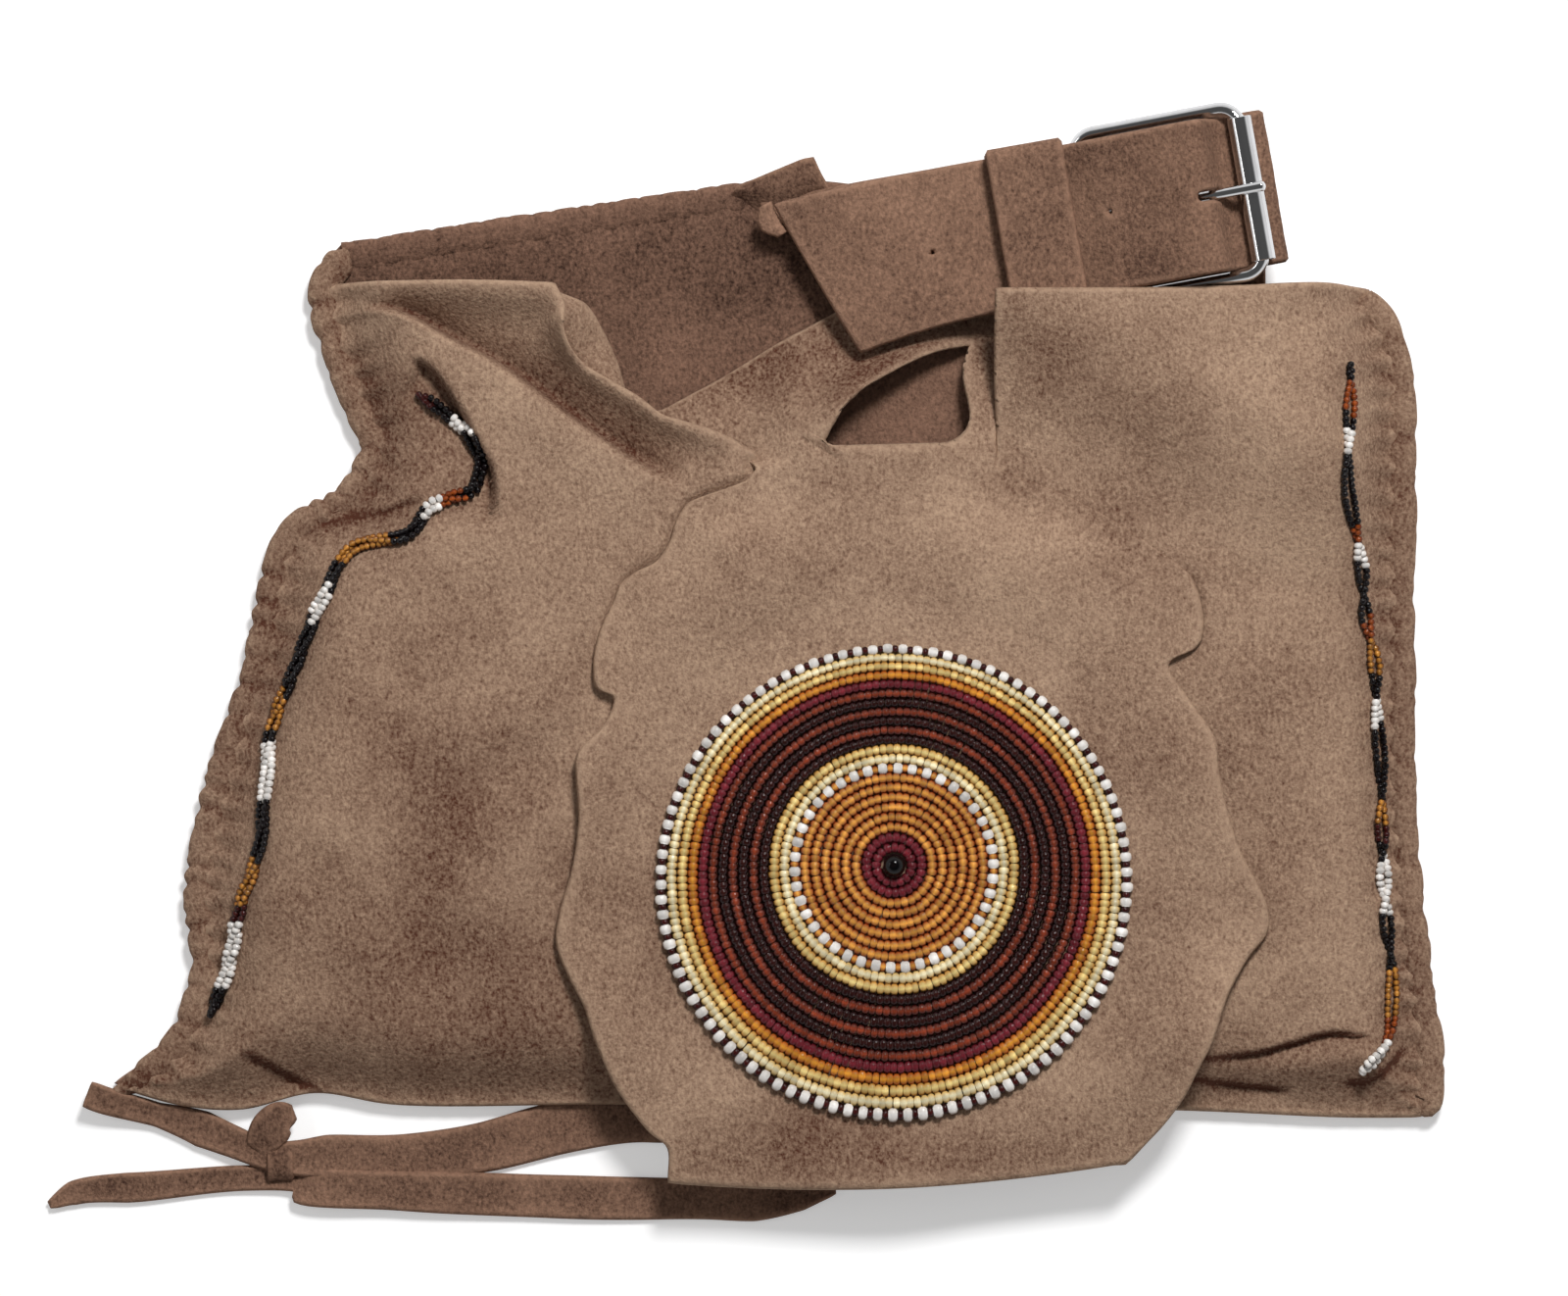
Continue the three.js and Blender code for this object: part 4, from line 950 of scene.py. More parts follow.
@dataclass
class FrontPanel:
    """Suede front, gathered into the seams, with the dipped mouth and its soft folds."""

    seam_room: float = 4.3
    base_room: float = 0.9
    seam_reach: float = 9.0
    seam_drops: tuple[float, float, float] = (0.3, 0.7, 0.3)
    sewn: tuple[float, float, float] = (1.0, 0.15, 1.0)
    gather: float = 0.5
    gather_pitch: float = 5.6
    # Tone of the gathers, lighter on their bumps and darker in their dips, partly worn nap and partly painted
    # light and shade; then painted shade next to the seam.
    gather_wear_and_shade: float = 0.1
    seam_painted_shade: float = 0.45
    columns: int = 256
    rows: int = 176
    wing_rise: float = 8.8
    wing_zone: tuple[float, float] = (5.0, 34.0)
    keeper_spot: tuple[float, float] = (21.5, 116.2)
    keeper_rise: float = 1.3
    keeper_reach: float = 6.0
    shoulder: Route = ((59.6, 62.3), (20.6, 82.0))
    flap_shy: float = 12.0
    lip_rise: float = 1.75
    lip_zone: tuple[float, float] = (-0.1, 1.6)
    merge_zone: tuple[float, float] = (-2.4, 1.4)
    merge_fade: float = 15.0
    merge_gap: float = 0.12
    lowest: float = 5.4
    slit_drop: float = 0.9
    base_tone: float = 0.2
    turn_gap: float = 0.5
    turn_bow: float = 1.2
    turn_drop: float = 2.6
    ripples: Route = ((0.9, 30.0, 0.4), (0.35, 11.0, 2.3))
    corner: tuple[float, float] = (99.4, 120.0)
    bulge: Patch = Patch(-105, 5, 38, 55, 3.5)
    folds: tuple[Fold, ...] = (
        Fold([[-112, 113], [-101, 112.6], [-92, 108], [-80, 100], [-67, 90], [-54, 81]], 1.4, 9.0, 0.25),
        Fold([[-106, 121], [-84, 121.4], [-70, 119], [-67, 112]], 4.6, 6.0, 0.3),
        Fold([[-68, 113], [-63, 104], [-54, 97.6], [-46, 93], [-36, 89.4]], 3.0, 3.4, 0.3),
        Fold([[-117, 106], [-110, 96], [-106, 88]], 2.0, 6.0, 0.05),
        Fold([[66, -43], [82, -43], [98, -40]], 1.6, 4.0, 0.05),
        Fold([[-78, 20], [-92, 12], [-99, -6], [-96, -20]], -1.6, 9.0, -0.2),
        Fold([[86, 112], [95, 96], [98, 60]], -1.2, 7.0, -0.05),
        Fold([[-124, 60], [-131, 30], [-138, -4]], -1.2, 4.0, -0.12),
        Fold([[-100, 62], [-112, 40], [-118, 10]], 1.4, 9.0, 0.12),
        Fold([[21, 118], [32, 106], [43, 95], [53, 82]], -0.2, 10.0, -0.15),
    )
    overlaps: tuple[Overlap, ...] = (
        Overlap([[-114, 115.6], [-103.3, 114.8], [-93.9, 110], [-83.6, 104.5], [-76.6, 99.8], [-67, 92.6],
                 [-54.5, 84], [-42.6, 76.8]], 9.6, 1.7, 9.0, -1.05),
        Overlap([[-82, 70], [-82.8, 74.2], [-83.2, 82], [-86.1, 87.9], [-90.8, 96.5], [-96.7, 104.5],
                 [-101, 107]], 6.0, 1.5, 11.0, -0.4),
        Overlap([[-104.5, -51.2], [-115.2, -50], [-121.5, -46.7], [-130.3, -41.8], [-137, -38]],
                1.5, 0.8, 6.0, -0.1, True),
        Overlap([[102, -35.8], [91, -34.8], [84, -36.7], [75.6, -38.9], [60, -40.4]],
                3.4, 0.9, 4.5, -0.3, True),
        Overlap([[84, -46.8], [70.5, -45.7], [58, -43.6]], 1.6, 0.8, 3.5, -0.1, True),
        Overlap([[107.4, -37.6], [100, -44.5], [94, -45.4]], 1.4, 0.9, 4.0, -0.2, True),
        Overlap([[-98, 77.6], [-108, 74.2], [-118, 72.6], [-125, 69.6]], 2.6, 1.0, 8.0, -0.4),
    )
    tone_patches: tuple[Patch, ...] = (
        # Patch(-110, 92) is painted shade in the pocket under the upper left folds.
        Patch(-96, -34, 60, 26, -0.45), Patch(-98, 34, 28, 34, -0.45), Patch(-110, 92, 15, 17, -0.75),
        Patch(80, 72, 17, 28, 0.62), Patch(68, 100, 22, 20, 0.05), Patch(31, 104, 13, 13, -0.2),
        Patch(86, 20, 22, 60, -0.2), Patch(-76, 62, 22, 26, 0.15), Patch(84, -43, 28, 9, -0.6),
        Patch(-138, 10, 10, 40, -0.2),
    )

    def __post_init__(self) -> None:
        """Work out the edges that the net is stretched between."""
        left, bottom, right = panel_sides(self.seam_room, self.base_room)
        right[-1] = self.corner
        self.sides = (left[1:], bottom, right)
        self.top = np.vstack([self.sides[0][:1], np.array(TOP_LINE, float), self.sides[2][-1:]])

    def wing(self, flat: Array) -> Array:
        """Rise of the upper right part, which lies over the strap and clears the keeper."""
        (ax, ay), (bx, by) = self.shoulder
        above = ((flat[:, 0] - bx) * (by - ay) + (flat[:, 1] - by) * (ax - bx)) / math.hypot(ax - bx, by - ay)
        slope = ramp(above, self.wing_zone)
        near = np.hypot(flat[:, 0] - self.keeper_spot[0], flat[:, 1] - self.keeper_spot[1])
        return self.wing_rise * slope + self.keeper_rise * bell(near, self.keeper_reach)

    def folded(self, flat: Array) -> tuple[Array, Array, Array]:
        """Lay the panel's folds.

        Args:
            flat: Points in the plan.

        Returns:
            Swelling of the suede, depth of its sharp slits and tone at each point: the nap's own tone, with
            painted light on ridges and painted shade in creases, valleys and the pocket.
        """
        swell, slit = self.bulge.at(flat), np.zeros(len(flat))
        tone = self.base_tone + MOTTLE_TONE * wander(flat, MOTTLE_SIZE, MOTTLE_SEED)
        for fold in self.folds:
            near = bell(nearest(flat, curve(fold.line, 40))[0], fold.reach)
            swell = swell + fold.rise * near
            # Painted light on ridges and painted shade in creases, partly worn nap.
            tone = tone + fold.tone * near
        for overlap in self.overlaps:
            deep, change = overlap.press(flat)
            tone = tone + change
            if overlap.sharp:
                slit = slit + deep
            else:
                swell = swell - deep
        for tone_patch in self.tone_patches:
            tone = tone + tone_patch.at(flat)
        return swell, slit, tone

    def relief(self, flat: Array) -> tuple[Array, Array]:
        """Height of the outer face and its tone: the nap's own tone with painted light and shade.

        Args:
            flat: Points in the plan.

        Returns:
            Height and tone at each point.
        """
        measures = [nearest(flat, line) for line in self.sides]
        pick = np.argmin([m[0] for m in measures], axis=0)
        seam = np.choose(pick, [m[0] for m in measures])
        travel = np.choose(pick, [m[1] for m in measures])
        away, _, rim_point = nearest(flat, np.vstack([COVER_OUTLINE, COVER_OUTLINE[:1]]))
        gap = np.where(inside(flat, COVER_OUTLINE), -away, away)
        clear = np.maximum(gap, 0.0)
        loose = smooth(clear / self.flap_shy)
        wing = self.wing(flat)
        swell, slit, tone = self.folded(flat)
        soft = sum(depth * wander(flat, size, seed) for depth, size, seed in self.ripples)
        sunk = pressed(flat)
        lip = ramp(clear, self.lip_zone)
        full = FRONT_TOP + wing + (swell + soft) * loose - sunk + self.lip_rise * sunk * lip
        met = bell(nearest(rim_point, MERGED_EDGE)[0], MERGE_REACH) * ramp(gap, self.merge_zone)
        met = met * bell(clear, self.merge_fade)
        full = full + (Flap().height(rim_point) - self.merge_gap + wing - full) * met
        rim = np.choose(pick, [SEAM_TOP - drop for drop in self.seam_drops])
        height = rim + (np.maximum(full, self.lowest) - rim) * (1 - bell(seam, self.seam_reach))
        height = np.maximum(height - slit * loose, SEAM_TOP - self.slit_drop)
        wave = np.sin(2 * math.pi * travel / self.gather_pitch + 2.5 * wander(flat, 12.0, 5.0))
        sewn = np.choose(pick, self.sewn)
        gathers = self.gather * wave * bell(seam - 2.0, 5.0) * sewn
        # Gathers lighter on their bumps and darker in their dips, partly worn nap and partly painted light
        # and shade, and painted shade next to the seam.
        tone = tone + (self.gather_wear_and_shade * wave * bell(seam, 6.0) - self.seam_painted_shade * bell(seam, 5.0)) * sewn
        return height + gathers * loose, matched(flat, tone)

    def build(self, finish: bpy.types.Material) -> bpy.types.Object:
        """Stretch the net, cut the mouth's dip and raise it to its height."""
        plan = stretched_net(self.sides, self.top, self.columns, self.rows)
        keep = np.ones((self.rows, self.columns), bool)
        plan, keep = cut_away(plan, keep, curve(DIP_LINE, 260))
        flat = plan.reshape(-1, 2)
        height, tone = self.relief(flat)
        grid = np.concatenate([flat, height[:, None]], axis=1).reshape(*plan.shape[:2], 3)
        under = grid - np.array([0.0, 0.0, SUEDE])
        piece = suede_piece("front_panel_suede", grid, under, tone, keep)
        seat(piece, finish, "root", Slot.BAG, "front_panel", "seam_bottom")
        self.turned_edge(finish)
        return piece

    def turned_edge(self, finish: bpy.types.Material) -> None:
        """Show the mouth's turned-in layer where the folded lip opens."""
        steps, columns = 40, 14
        lip = curve([[-70.6, 118.6], [-70.4, 111], [-67, 104.6], [-60, 99.6], [-56.4, 97.6]], steps)
        brim = curve([[-69.4, 119.4], [-64.6, 117], [-61, 111.4], [-58, 105], [-56.2, 99.4]], steps)
        share = np.linspace(0.0, 1.0, columns + 1)[None, :, None]
        plan = lip[:, None] * (1 - share) + brim[:, None] * share
        start = self.relief(lip)[0] - SUEDE - self.turn_gap
        across = share[..., 0]
        height = start[:, None] + (self.turn_bow * np.sin(math.pi * across) - self.turn_drop * across)
        grid = np.concatenate([plan, height[..., None]], axis=2)
        tone = 0.05 + 0.2 * wander(plan.reshape(-1, 2), 9.0, 6.6)
        under = grid - np.array([0.0, 0.0, THIN_SUEDE])
        piece = suede_piece("mouth_turned_edge", grid, under, tone)
        seat(piece, finish, "root", Slot.BAG)


@dataclass
class GatheredSeam:
    """Edge rolled over and gathered by its overcast stitches."""

    STEP = 0.55
    SIDES = 18
    ROUGH_STEPS = 400
    THIN_END = 0.3
    STITCH_SLANT = 0.9
    PINCH_IN, PINCH_DOWN = 0.26, 0.24
    SLOW_WAVE, QUICK_WAVE = 17.0, 7.0
    SLOW_DEPTH, QUICK_DEPTH = 0.16, 0.14
    SLOW_TONE, QUICK_TONE = 0.2, 0.15
    SLOW_RISE = 0.2
    ROUNDNESS = (1.5, 0.8)
    MIDDLE_SHARE = 0.7
    FLOOR_DEPTH = 1.2
    # Painted shade where a stitch pinches the roll; a lighter tone and wear along the roll's outer side.
    PINCH_SHADE, CREST_TONE, CREST_WEAR = 0.25, 0.25, 0.35

    name: str
    line: Route
    node: str
    radius: float = 1.9
    wide: float = 2.9
    end: float = 0.0
    pitch: float = 4.4
    pucker: float = 1.0
    tone: float = -0.4
    rise: float = 0.0
    run: float = 1.3
    fade_in: float = 0.0
    fade_out: float = 0.0

    def fullness(self, places: Array, length: float) -> Array:
        """How full uneven stitches leave the roll at places along it, 1 where none pinches it."""
        draw = np.random.default_rng(len(self.name) + int(self.pitch * 10))
        stitches = np.cumsum(self.pitch * draw.uniform(0.4, 1.7, int(2 * length / self.pitch)))
        depth = draw.uniform(0.2, 1.0, len(stitches))
        reach = 0.2 * self.pitch * draw.uniform(0.6, 1.4, len(stitches))
        return np.min([1.0 - d * bell(places - s, r) for s, d, r in zip(stitches, depth, reach)], axis=0)

    def build(self, finish: bpy.types.Material) -> bpy.types.Object:
        """Sweep the roll along its line, pinched at each stitch and feathered at its inner side."""
        rough = curve(inset(self.line, self.wide), self.ROUGH_STEPS)
        length = float(np.linalg.norm(np.diff(rough, axis=0), axis=1).sum())
        steps = int((length - self.end) / self.STEP)
        path = evenly(rough[: self.ROUGH_STEPS + 1 - int(self.ROUGH_STEPS * self.end / length)], steps)
        along = headings(path)
        travel = np.linspace(0.0, length, steps + 1)
        slow, quick = (
            np.array([[noise.noise(Vector((t / size, self.wide, 4.0)))] for t in travel])
            for size in (self.SLOW_WAVE, self.QUICK_WAVE)
        )
        sides = self.SIDES
        turn = np.linspace(0.0, 2 * math.pi, sides, endpoint=False)
        inner = (np.cos(turn) > 0)[None, :]
        lean = 0.5 - 0.5 * np.cos(turn)[None, :]
        places = travel[:, None] + self.STITCH_SLANT * np.sin(turn)[None, :]
        pinch = (1.0 - self.fullness(places, length)) * self.pucker
        ends = np.ones(steps + 1)
        if self.fade_in:
            ends *= self.THIN_END + (1.0 - self.THIN_END) * smooth(travel / self.fade_in)
        if self.fade_out:
            ends *= self.THIN_END + (1.0 - self.THIN_END) * smooth((length - travel) / self.fade_out)
        reach = np.where(inner, self.run, 1.0) * np.cos(turn)[None, :]
        waves = self.SLOW_DEPTH * slow + self.QUICK_DEPTH * quick
        bulge = 1.0 - pinch * self.PINCH_IN * lean**2 + waves * lean
        across = reach * self.wide * bulge * ends[:, None]
        tall = np.abs(np.sin(turn))[None, :] ** np.where(inner, *self.ROUNDNESS)
        up = np.sign(np.sin(turn))[None, :] * tall * self.radius
        sunk = self.PINCH_DOWN * pinch * (0.35 + 0.65 * lean)
        up = up * (1.0 - sunk + self.SLOW_RISE * slow) * ends[:, None]
        middle = BACK_TOP + SEAT + self.radius * self.MIDDLE_SHARE + self.rise
        points = np.stack([
            path[:, None, 0] - along[:, None, 1] * across,
            path[:, None, 1] + along[:, None, 0] * across,
            np.maximum(middle + up, BACK_TOP - self.FLOOR_DEPTH),
        ], axis=-1)
        count = steps + 1
        faces = []
        for i in range(steps):
            here, there = i * sides, (i + 1) * sides
            for j in range(sides):
                k = (j + 1) % sides
                faces.append([here + j, there + j, there + k, here + k])
        faces.append(list(range(sides)))
        faces.append([(count - 1) * sides + j for j in reversed(range(sides))])
        piece = new_piece(self.name, points.reshape(-1, 3), faces)
        # Painted shade where each stitch pinches the roll.
        shade = self.tone - self.PINCH_SHADE * pinch + self.SLOW_TONE * slow + self.QUICK_TONE * quick
        add_values(piece, "tone", (shade + self.CREST_TONE * lean).ravel())
        add_values(piece, "edge", (self.CREST_WEAR * lean * (1.0 - pinch)).ravel())
        return seat(piece, finish, "root", Slot.BAG, self.node)


HEM_ROLL = GatheredSeam(
    "hem_roll", HEM_LINE, "back_hem",
    radius=1.3, wide=1.8, pitch=3.4, pucker=0.9, rise=-1.3, run=2.4, tone=0.0,
)
LEFT_ROLL = GatheredSeam(
    "seam_left_roll", LEFT_LINE, "seam_left",
    end=0.6, fade_in=3.0, fade_out=9.0, pitch=5.4, pucker=1.4, tone=-0.5,
)
RIGHT_ROLL = GatheredSeam(
    "seam_right_roll", [[107.5, -53.4], [112.0, -53.2]] + RIGHT_LINE, "seam_right",
    fade_in=5.0, pitch=6.4, pucker=0.6, tone=-0.42,
)


@dataclass
class Flap:
    """Scalloped flap on its neck, with the hand hole."""

    columns: int = 150
    fineness: int = 6
    sag: float = 3.0
    lift: float = 2.0
    lobes: int = 7
    arch: float = 5.0
    arch_reach: float = 5.0
    neck_zone: tuple[float, float] = (84.0, 33.0)
    rim_zone: tuple[float, float] = (54.0, 14.0)
    loose_zone: tuple[float, float] = (52.0, 8.0)
    lifted_zone: tuple[float, float] = (80.0, -14.0)
    softness: tuple[float, float] = (0.35, 0.45)
    soft_size: float = 22.0
    tuck: float = 4.6
    tuck_zones: tuple[tuple[float, float], tuple[float, float]] = ((-19.0, -13.0), (82.5, 4.0))
    base_tone: float = 0.27
    mottle: float = 0.18
    merged_wear: float = 0.9
    awl_radius: float = 0.75
    flares: tuple[Patch, ...] = (Patch(66, -36, 15, 17, 4.4), Patch(-64, -34, 11, 20, 1.8))
    hole_base: Route = ((-15.8, 87.3), (8.6, 87.7))
    hole_right: Route = (
        (8.6, 87.7), (12.4, 88.2), (15.3, 90.4), (16.3, 93.4), (15.8, 97), (14.8, 103), (16.2, 109),
    )
    hole_arc: Route = ((16.2, 109), (9.2, 107.6), (0.2, 103.5), (-9.6, 97.1), (-15.8, 87.3))
    awl_hole: tuple[float, float] = (-25.6, 84.6)
    tone_patches: tuple[Patch, ...] = (
        Patch(-18, 66, 20, 10, -0.28), Patch(30, 55, 24, 12, -0.12), Patch(0, -60, 50, 9, -0.62),
        Patch(58, -30, 14, 20, -0.3), Patch(-58, 0, 11, 40, -0.2), Patch(-14, 103, 60, 13, -0.8),
        Patch(20, 74, 24, 6, 0.15), Patch(50, 20, 10, 30, -0.25),
    )

    def height(self, flat: Array) -> Array:
        """Height of the outer face."""
        x, y = flat[:, 0], flat[:, 1]
        radius = np.hypot(x, y)
        base = FLAP_UNDER + (BACK_TOP + SEAT - FLAP_UNDER) * ramp(y, self.neck_zone)
        rim = ramp(radius, self.rim_zone)
        wave = 0.5 + 0.5 * np.sin(self.lobes * np.arctan2(y, x))
        below = ramp(y, self.lifted_zone)
        level, ripple = self.softness
        soft = (level + ripple * wander(flat, self.soft_size, 9.3)) * ramp(radius, self.loose_zone)
        tuck = self.tuck * ramp(x, self.tuck_zones[0]) * ramp(y, self.tuck_zones[1])
        sunk = pressed(flat)
        lifted = self.lift * rim * wave * below * (1.0 - sunk / PRESS_DEPTH)
        flare = sum(patch.at(flat) for patch in self.flares)
        away, share = beside(flat, curve(self.hole_arc, 40))
        arch = self.arch * bell(away, self.arch_reach) * np.sin(math.pi * share) ** 0.7
        outer = base - sunk - tuck + lifted + arch + flare * rim + soft * below + SUEDE
        return np.maximum(outer, BACK_TOP + SEAT + SUEDE + SEAT)

    def build(self, finish: bpy.types.Material) -> bpy.types.Object:
        """Fill the ladder between both edges, cut the holes and raise it."""
        steps = self.fineness * (len(FLAP_LEFT) - 1)
        rung = np.linspace(0.0, len(FLAP_LEFT) - 1, steps + 1)
        edges = []
        for side in (FLAP_LEFT, FLAP_RIGHT):
            p = np.asarray(side, float)
            p = np.vstack([2 * p[0] - p[1], p, 2 * p[-1] - p[-2]])
            k = np.minimum(rung.astype(int), len(side) - 2)
            t = (rung - k)[:, None]
            a, b, c, d = p[k], p[k + 1], p[k + 2], p[k + 3]
            bend = (2 * a - 5 * b + 4 * c - d) * t + (3 * b - a - 3 * c + d) * t * t
            edges.append(b + 0.5 * t * (c - a + bend))
        share = np.linspace(0.0, 1.0, self.columns + 1)[None, :, None]
        plan = edges[0][:, None] * (1 - share) + edges[1][:, None] * share
        drop = self.sag * np.maximum(0.0, 1 - rung / 4.0)
        plan[..., 1] -= drop[:, None] * 4 * share[..., 0] * (1 - share[..., 0])
        keep = np.ones((steps, self.columns), bool)
        right, arc = curve(self.hole_right, 30), curve(self.hole_arc, 30)
        hole = np.vstack([np.array(self.hole_base), right[1:], arc[1:-1]])
        plan, keep = cut_away(plan, keep, hole)
        plan, keep = cut_away(plan, keep, round_hole(self.awl_hole, self.awl_radius, 10))
        flat = plan.reshape(-1, 2)
        tone = self.mottle * wander(flat, 28.0, 4.4) + self.base_tone
        for tone_patch in self.tone_patches:
            tone = tone + tone_patch.at(flat)
        tone = matched(flat, tone)
        grid = np.concatenate([flat, self.height(flat)[:, None]], axis=1).reshape(*plan.shape[:2], 3)
        worn = 1.0 - self.merged_wear * bell(nearest(flat, MERGED_EDGE)[0], MERGE_REACH)
        piece = suede_piece("flap_suede", grid, grid - np.array([0.0, 0.0, SUEDE]), tone, keep, worn)
        seat(piece, finish, "root", Slot.BAG, "flap")
        return piece


class Glaze(Enum):
    """Bead colours: the core, given to the bead's top, and the flanks, given to its sides. The core is partly
    the glass or its lined hole and partly painted light; the flanks are partly the glass and partly painted
    shade.
    """

    WINE = (linear(128, 42, 52), linear(84, 15, 25))
    AMBER = (linear(238, 168, 76), linear(136, 48, 20))
    ORANGE = (linear(232, 158, 56), linear(160, 70, 18))
    WHITE = (linear(250, 246, 242), linear(226, 218, 210))
    CREAM = (linear(255, 245, 206), linear(216, 176, 100))
    GOLD = (linear(250, 224, 148), linear(192, 134, 58))
    COPPER = (linear(146, 62, 38), linear(42, 8, 8))
    DARK = (linear(54, 21, 18), linear(26, 5, 7))
    HONEY = (linear(206, 142, 62), linear(104, 52, 14))
    RUST = (linear(166, 80, 30), linear(88, 30, 9))
    BLACK = (linear(14, 8, 11), linear(4, 3, 4))
    BROWN = (linear(70, 22, 20), linear(38, 11, 11))


@dataclass(frozen=True)
class SeedBead:
    """One seed bead with few faces: stops along its axis and its girth there."""

    SIZE_SPREAD = (0.95, 1.05)
    PLACE_SPREAD = 0.04
    CORE_SPREAD = (0.62, 1.16)
    TINT_SPREAD = (0.86, 1.1)

    sides: int = 10
    stops: tuple[float, ...] = (-0.5, -0.32, 0.0, 0.32, 0.5)
    girth: tuple[float, ...] = (0.6, 0.94, 1.0, 0.94, 0.6)

    def shape(self) -> tuple[Array, Array, Array]:
        """Points along, beside and above the axis, the side faces, and each point's share of the painted
        light on the bead's top.
        """
        turn = np.arange(self.sides) * 2 * math.pi / self.sides + math.pi / 2
        points = np.array([
            [stop, *(math.copysign(girth * abs(way) ** 0.8, way) for way in (math.cos(t), math.sin(t)))]
            for stop, girth in zip(self.stops, self.girth) for t in turn
        ])
        faces = []
        for i in range(len(self.stops) - 1):
            for j in range(self.sides):
                k = (j + 1) % self.sides
                a, b = i * self.sides, (i + 1) * self.sides
                faces.append([a + j, a + k, b + k, b + j])
        # Painted light on the bead's top and painted shade on its sides: the core colour goes on the crown
        # and the flank colour on the flanks.
        crown_light = np.tile(np.maximum(np.sin(turn), 0.0) ** 6, len(self.stops))
        return points, np.array(faces), crown_light

    def thread(
        self, name: str, middles: Array, axes: Array, sizes: Array, glazes: Sequence[Glaze], seed: int
    ) -> bpy.types.Object:
        """Copy the bead to many places as one piece.

        Args:
            name: Name of the piece.
            middles: Middle of each bead.
            axes: Unit vector along each bead's hole.
            sizes: Length, half width and half height of each bead.
            glazes: Colour of each bead.
            seed: Seed of the beads' small differences.

        Returns:
            The piece with its colours stored in it.
        """
        draw = np.random.default_rng(seed)
        points, faces, crown_light = self.shape()
        side = np.cross(np.array([0.0, 0.0, 1.0]), axes)
        side /= np.linalg.norm(side, axis=1, keepdims=True)
        up = np.cross(axes, side)
        sizes = sizes * draw.uniform(*self.SIZE_SPREAD, sizes.shape)
        middles = middles + draw.normal(0.0, self.PLACE_SPREAD, middles.shape)
        local = points[None] * sizes[:, None]
        placed = middles[:, None] + local[..., :1] * axes[:, None] + local[..., 1:2] * side[:, None]
        placed = placed + local[..., 2:] * up[:, None]
        count, each = len(middles), len(points)
        shift = (np.arange(count) * each)[:, None, None]
        quads = (faces[None] + shift).reshape(-1, 4).tolist()
        ends = [list(range(self.sides - 1, -1, -1)), list(range(each - self.sides, each))]
        quads += [[k + i * each for k in end[::-1]] for i in range(count) for end in ends]
        piece = new_piece(name, placed.reshape(-1, 3), quads)
        core, flank = (np.array([g.value[k] for g in glazes])[:, None] for k in (0, 1))
        core = core * draw.uniform(*self.CORE_SPREAD, (count, 1, 1))
        # Painted light on each bead's crown, painted shade on its flanks.
        color = flank + (core - flank) * crown_light[None, :, None]
        color = color * draw.uniform(*self.TINT_SPREAD, (count, 1, 1))
        full = np.concatenate([color, np.ones((count, each, 1))], axis=2)
        add_values(piece, "glaze", full.reshape(-1, 4))
        return piece


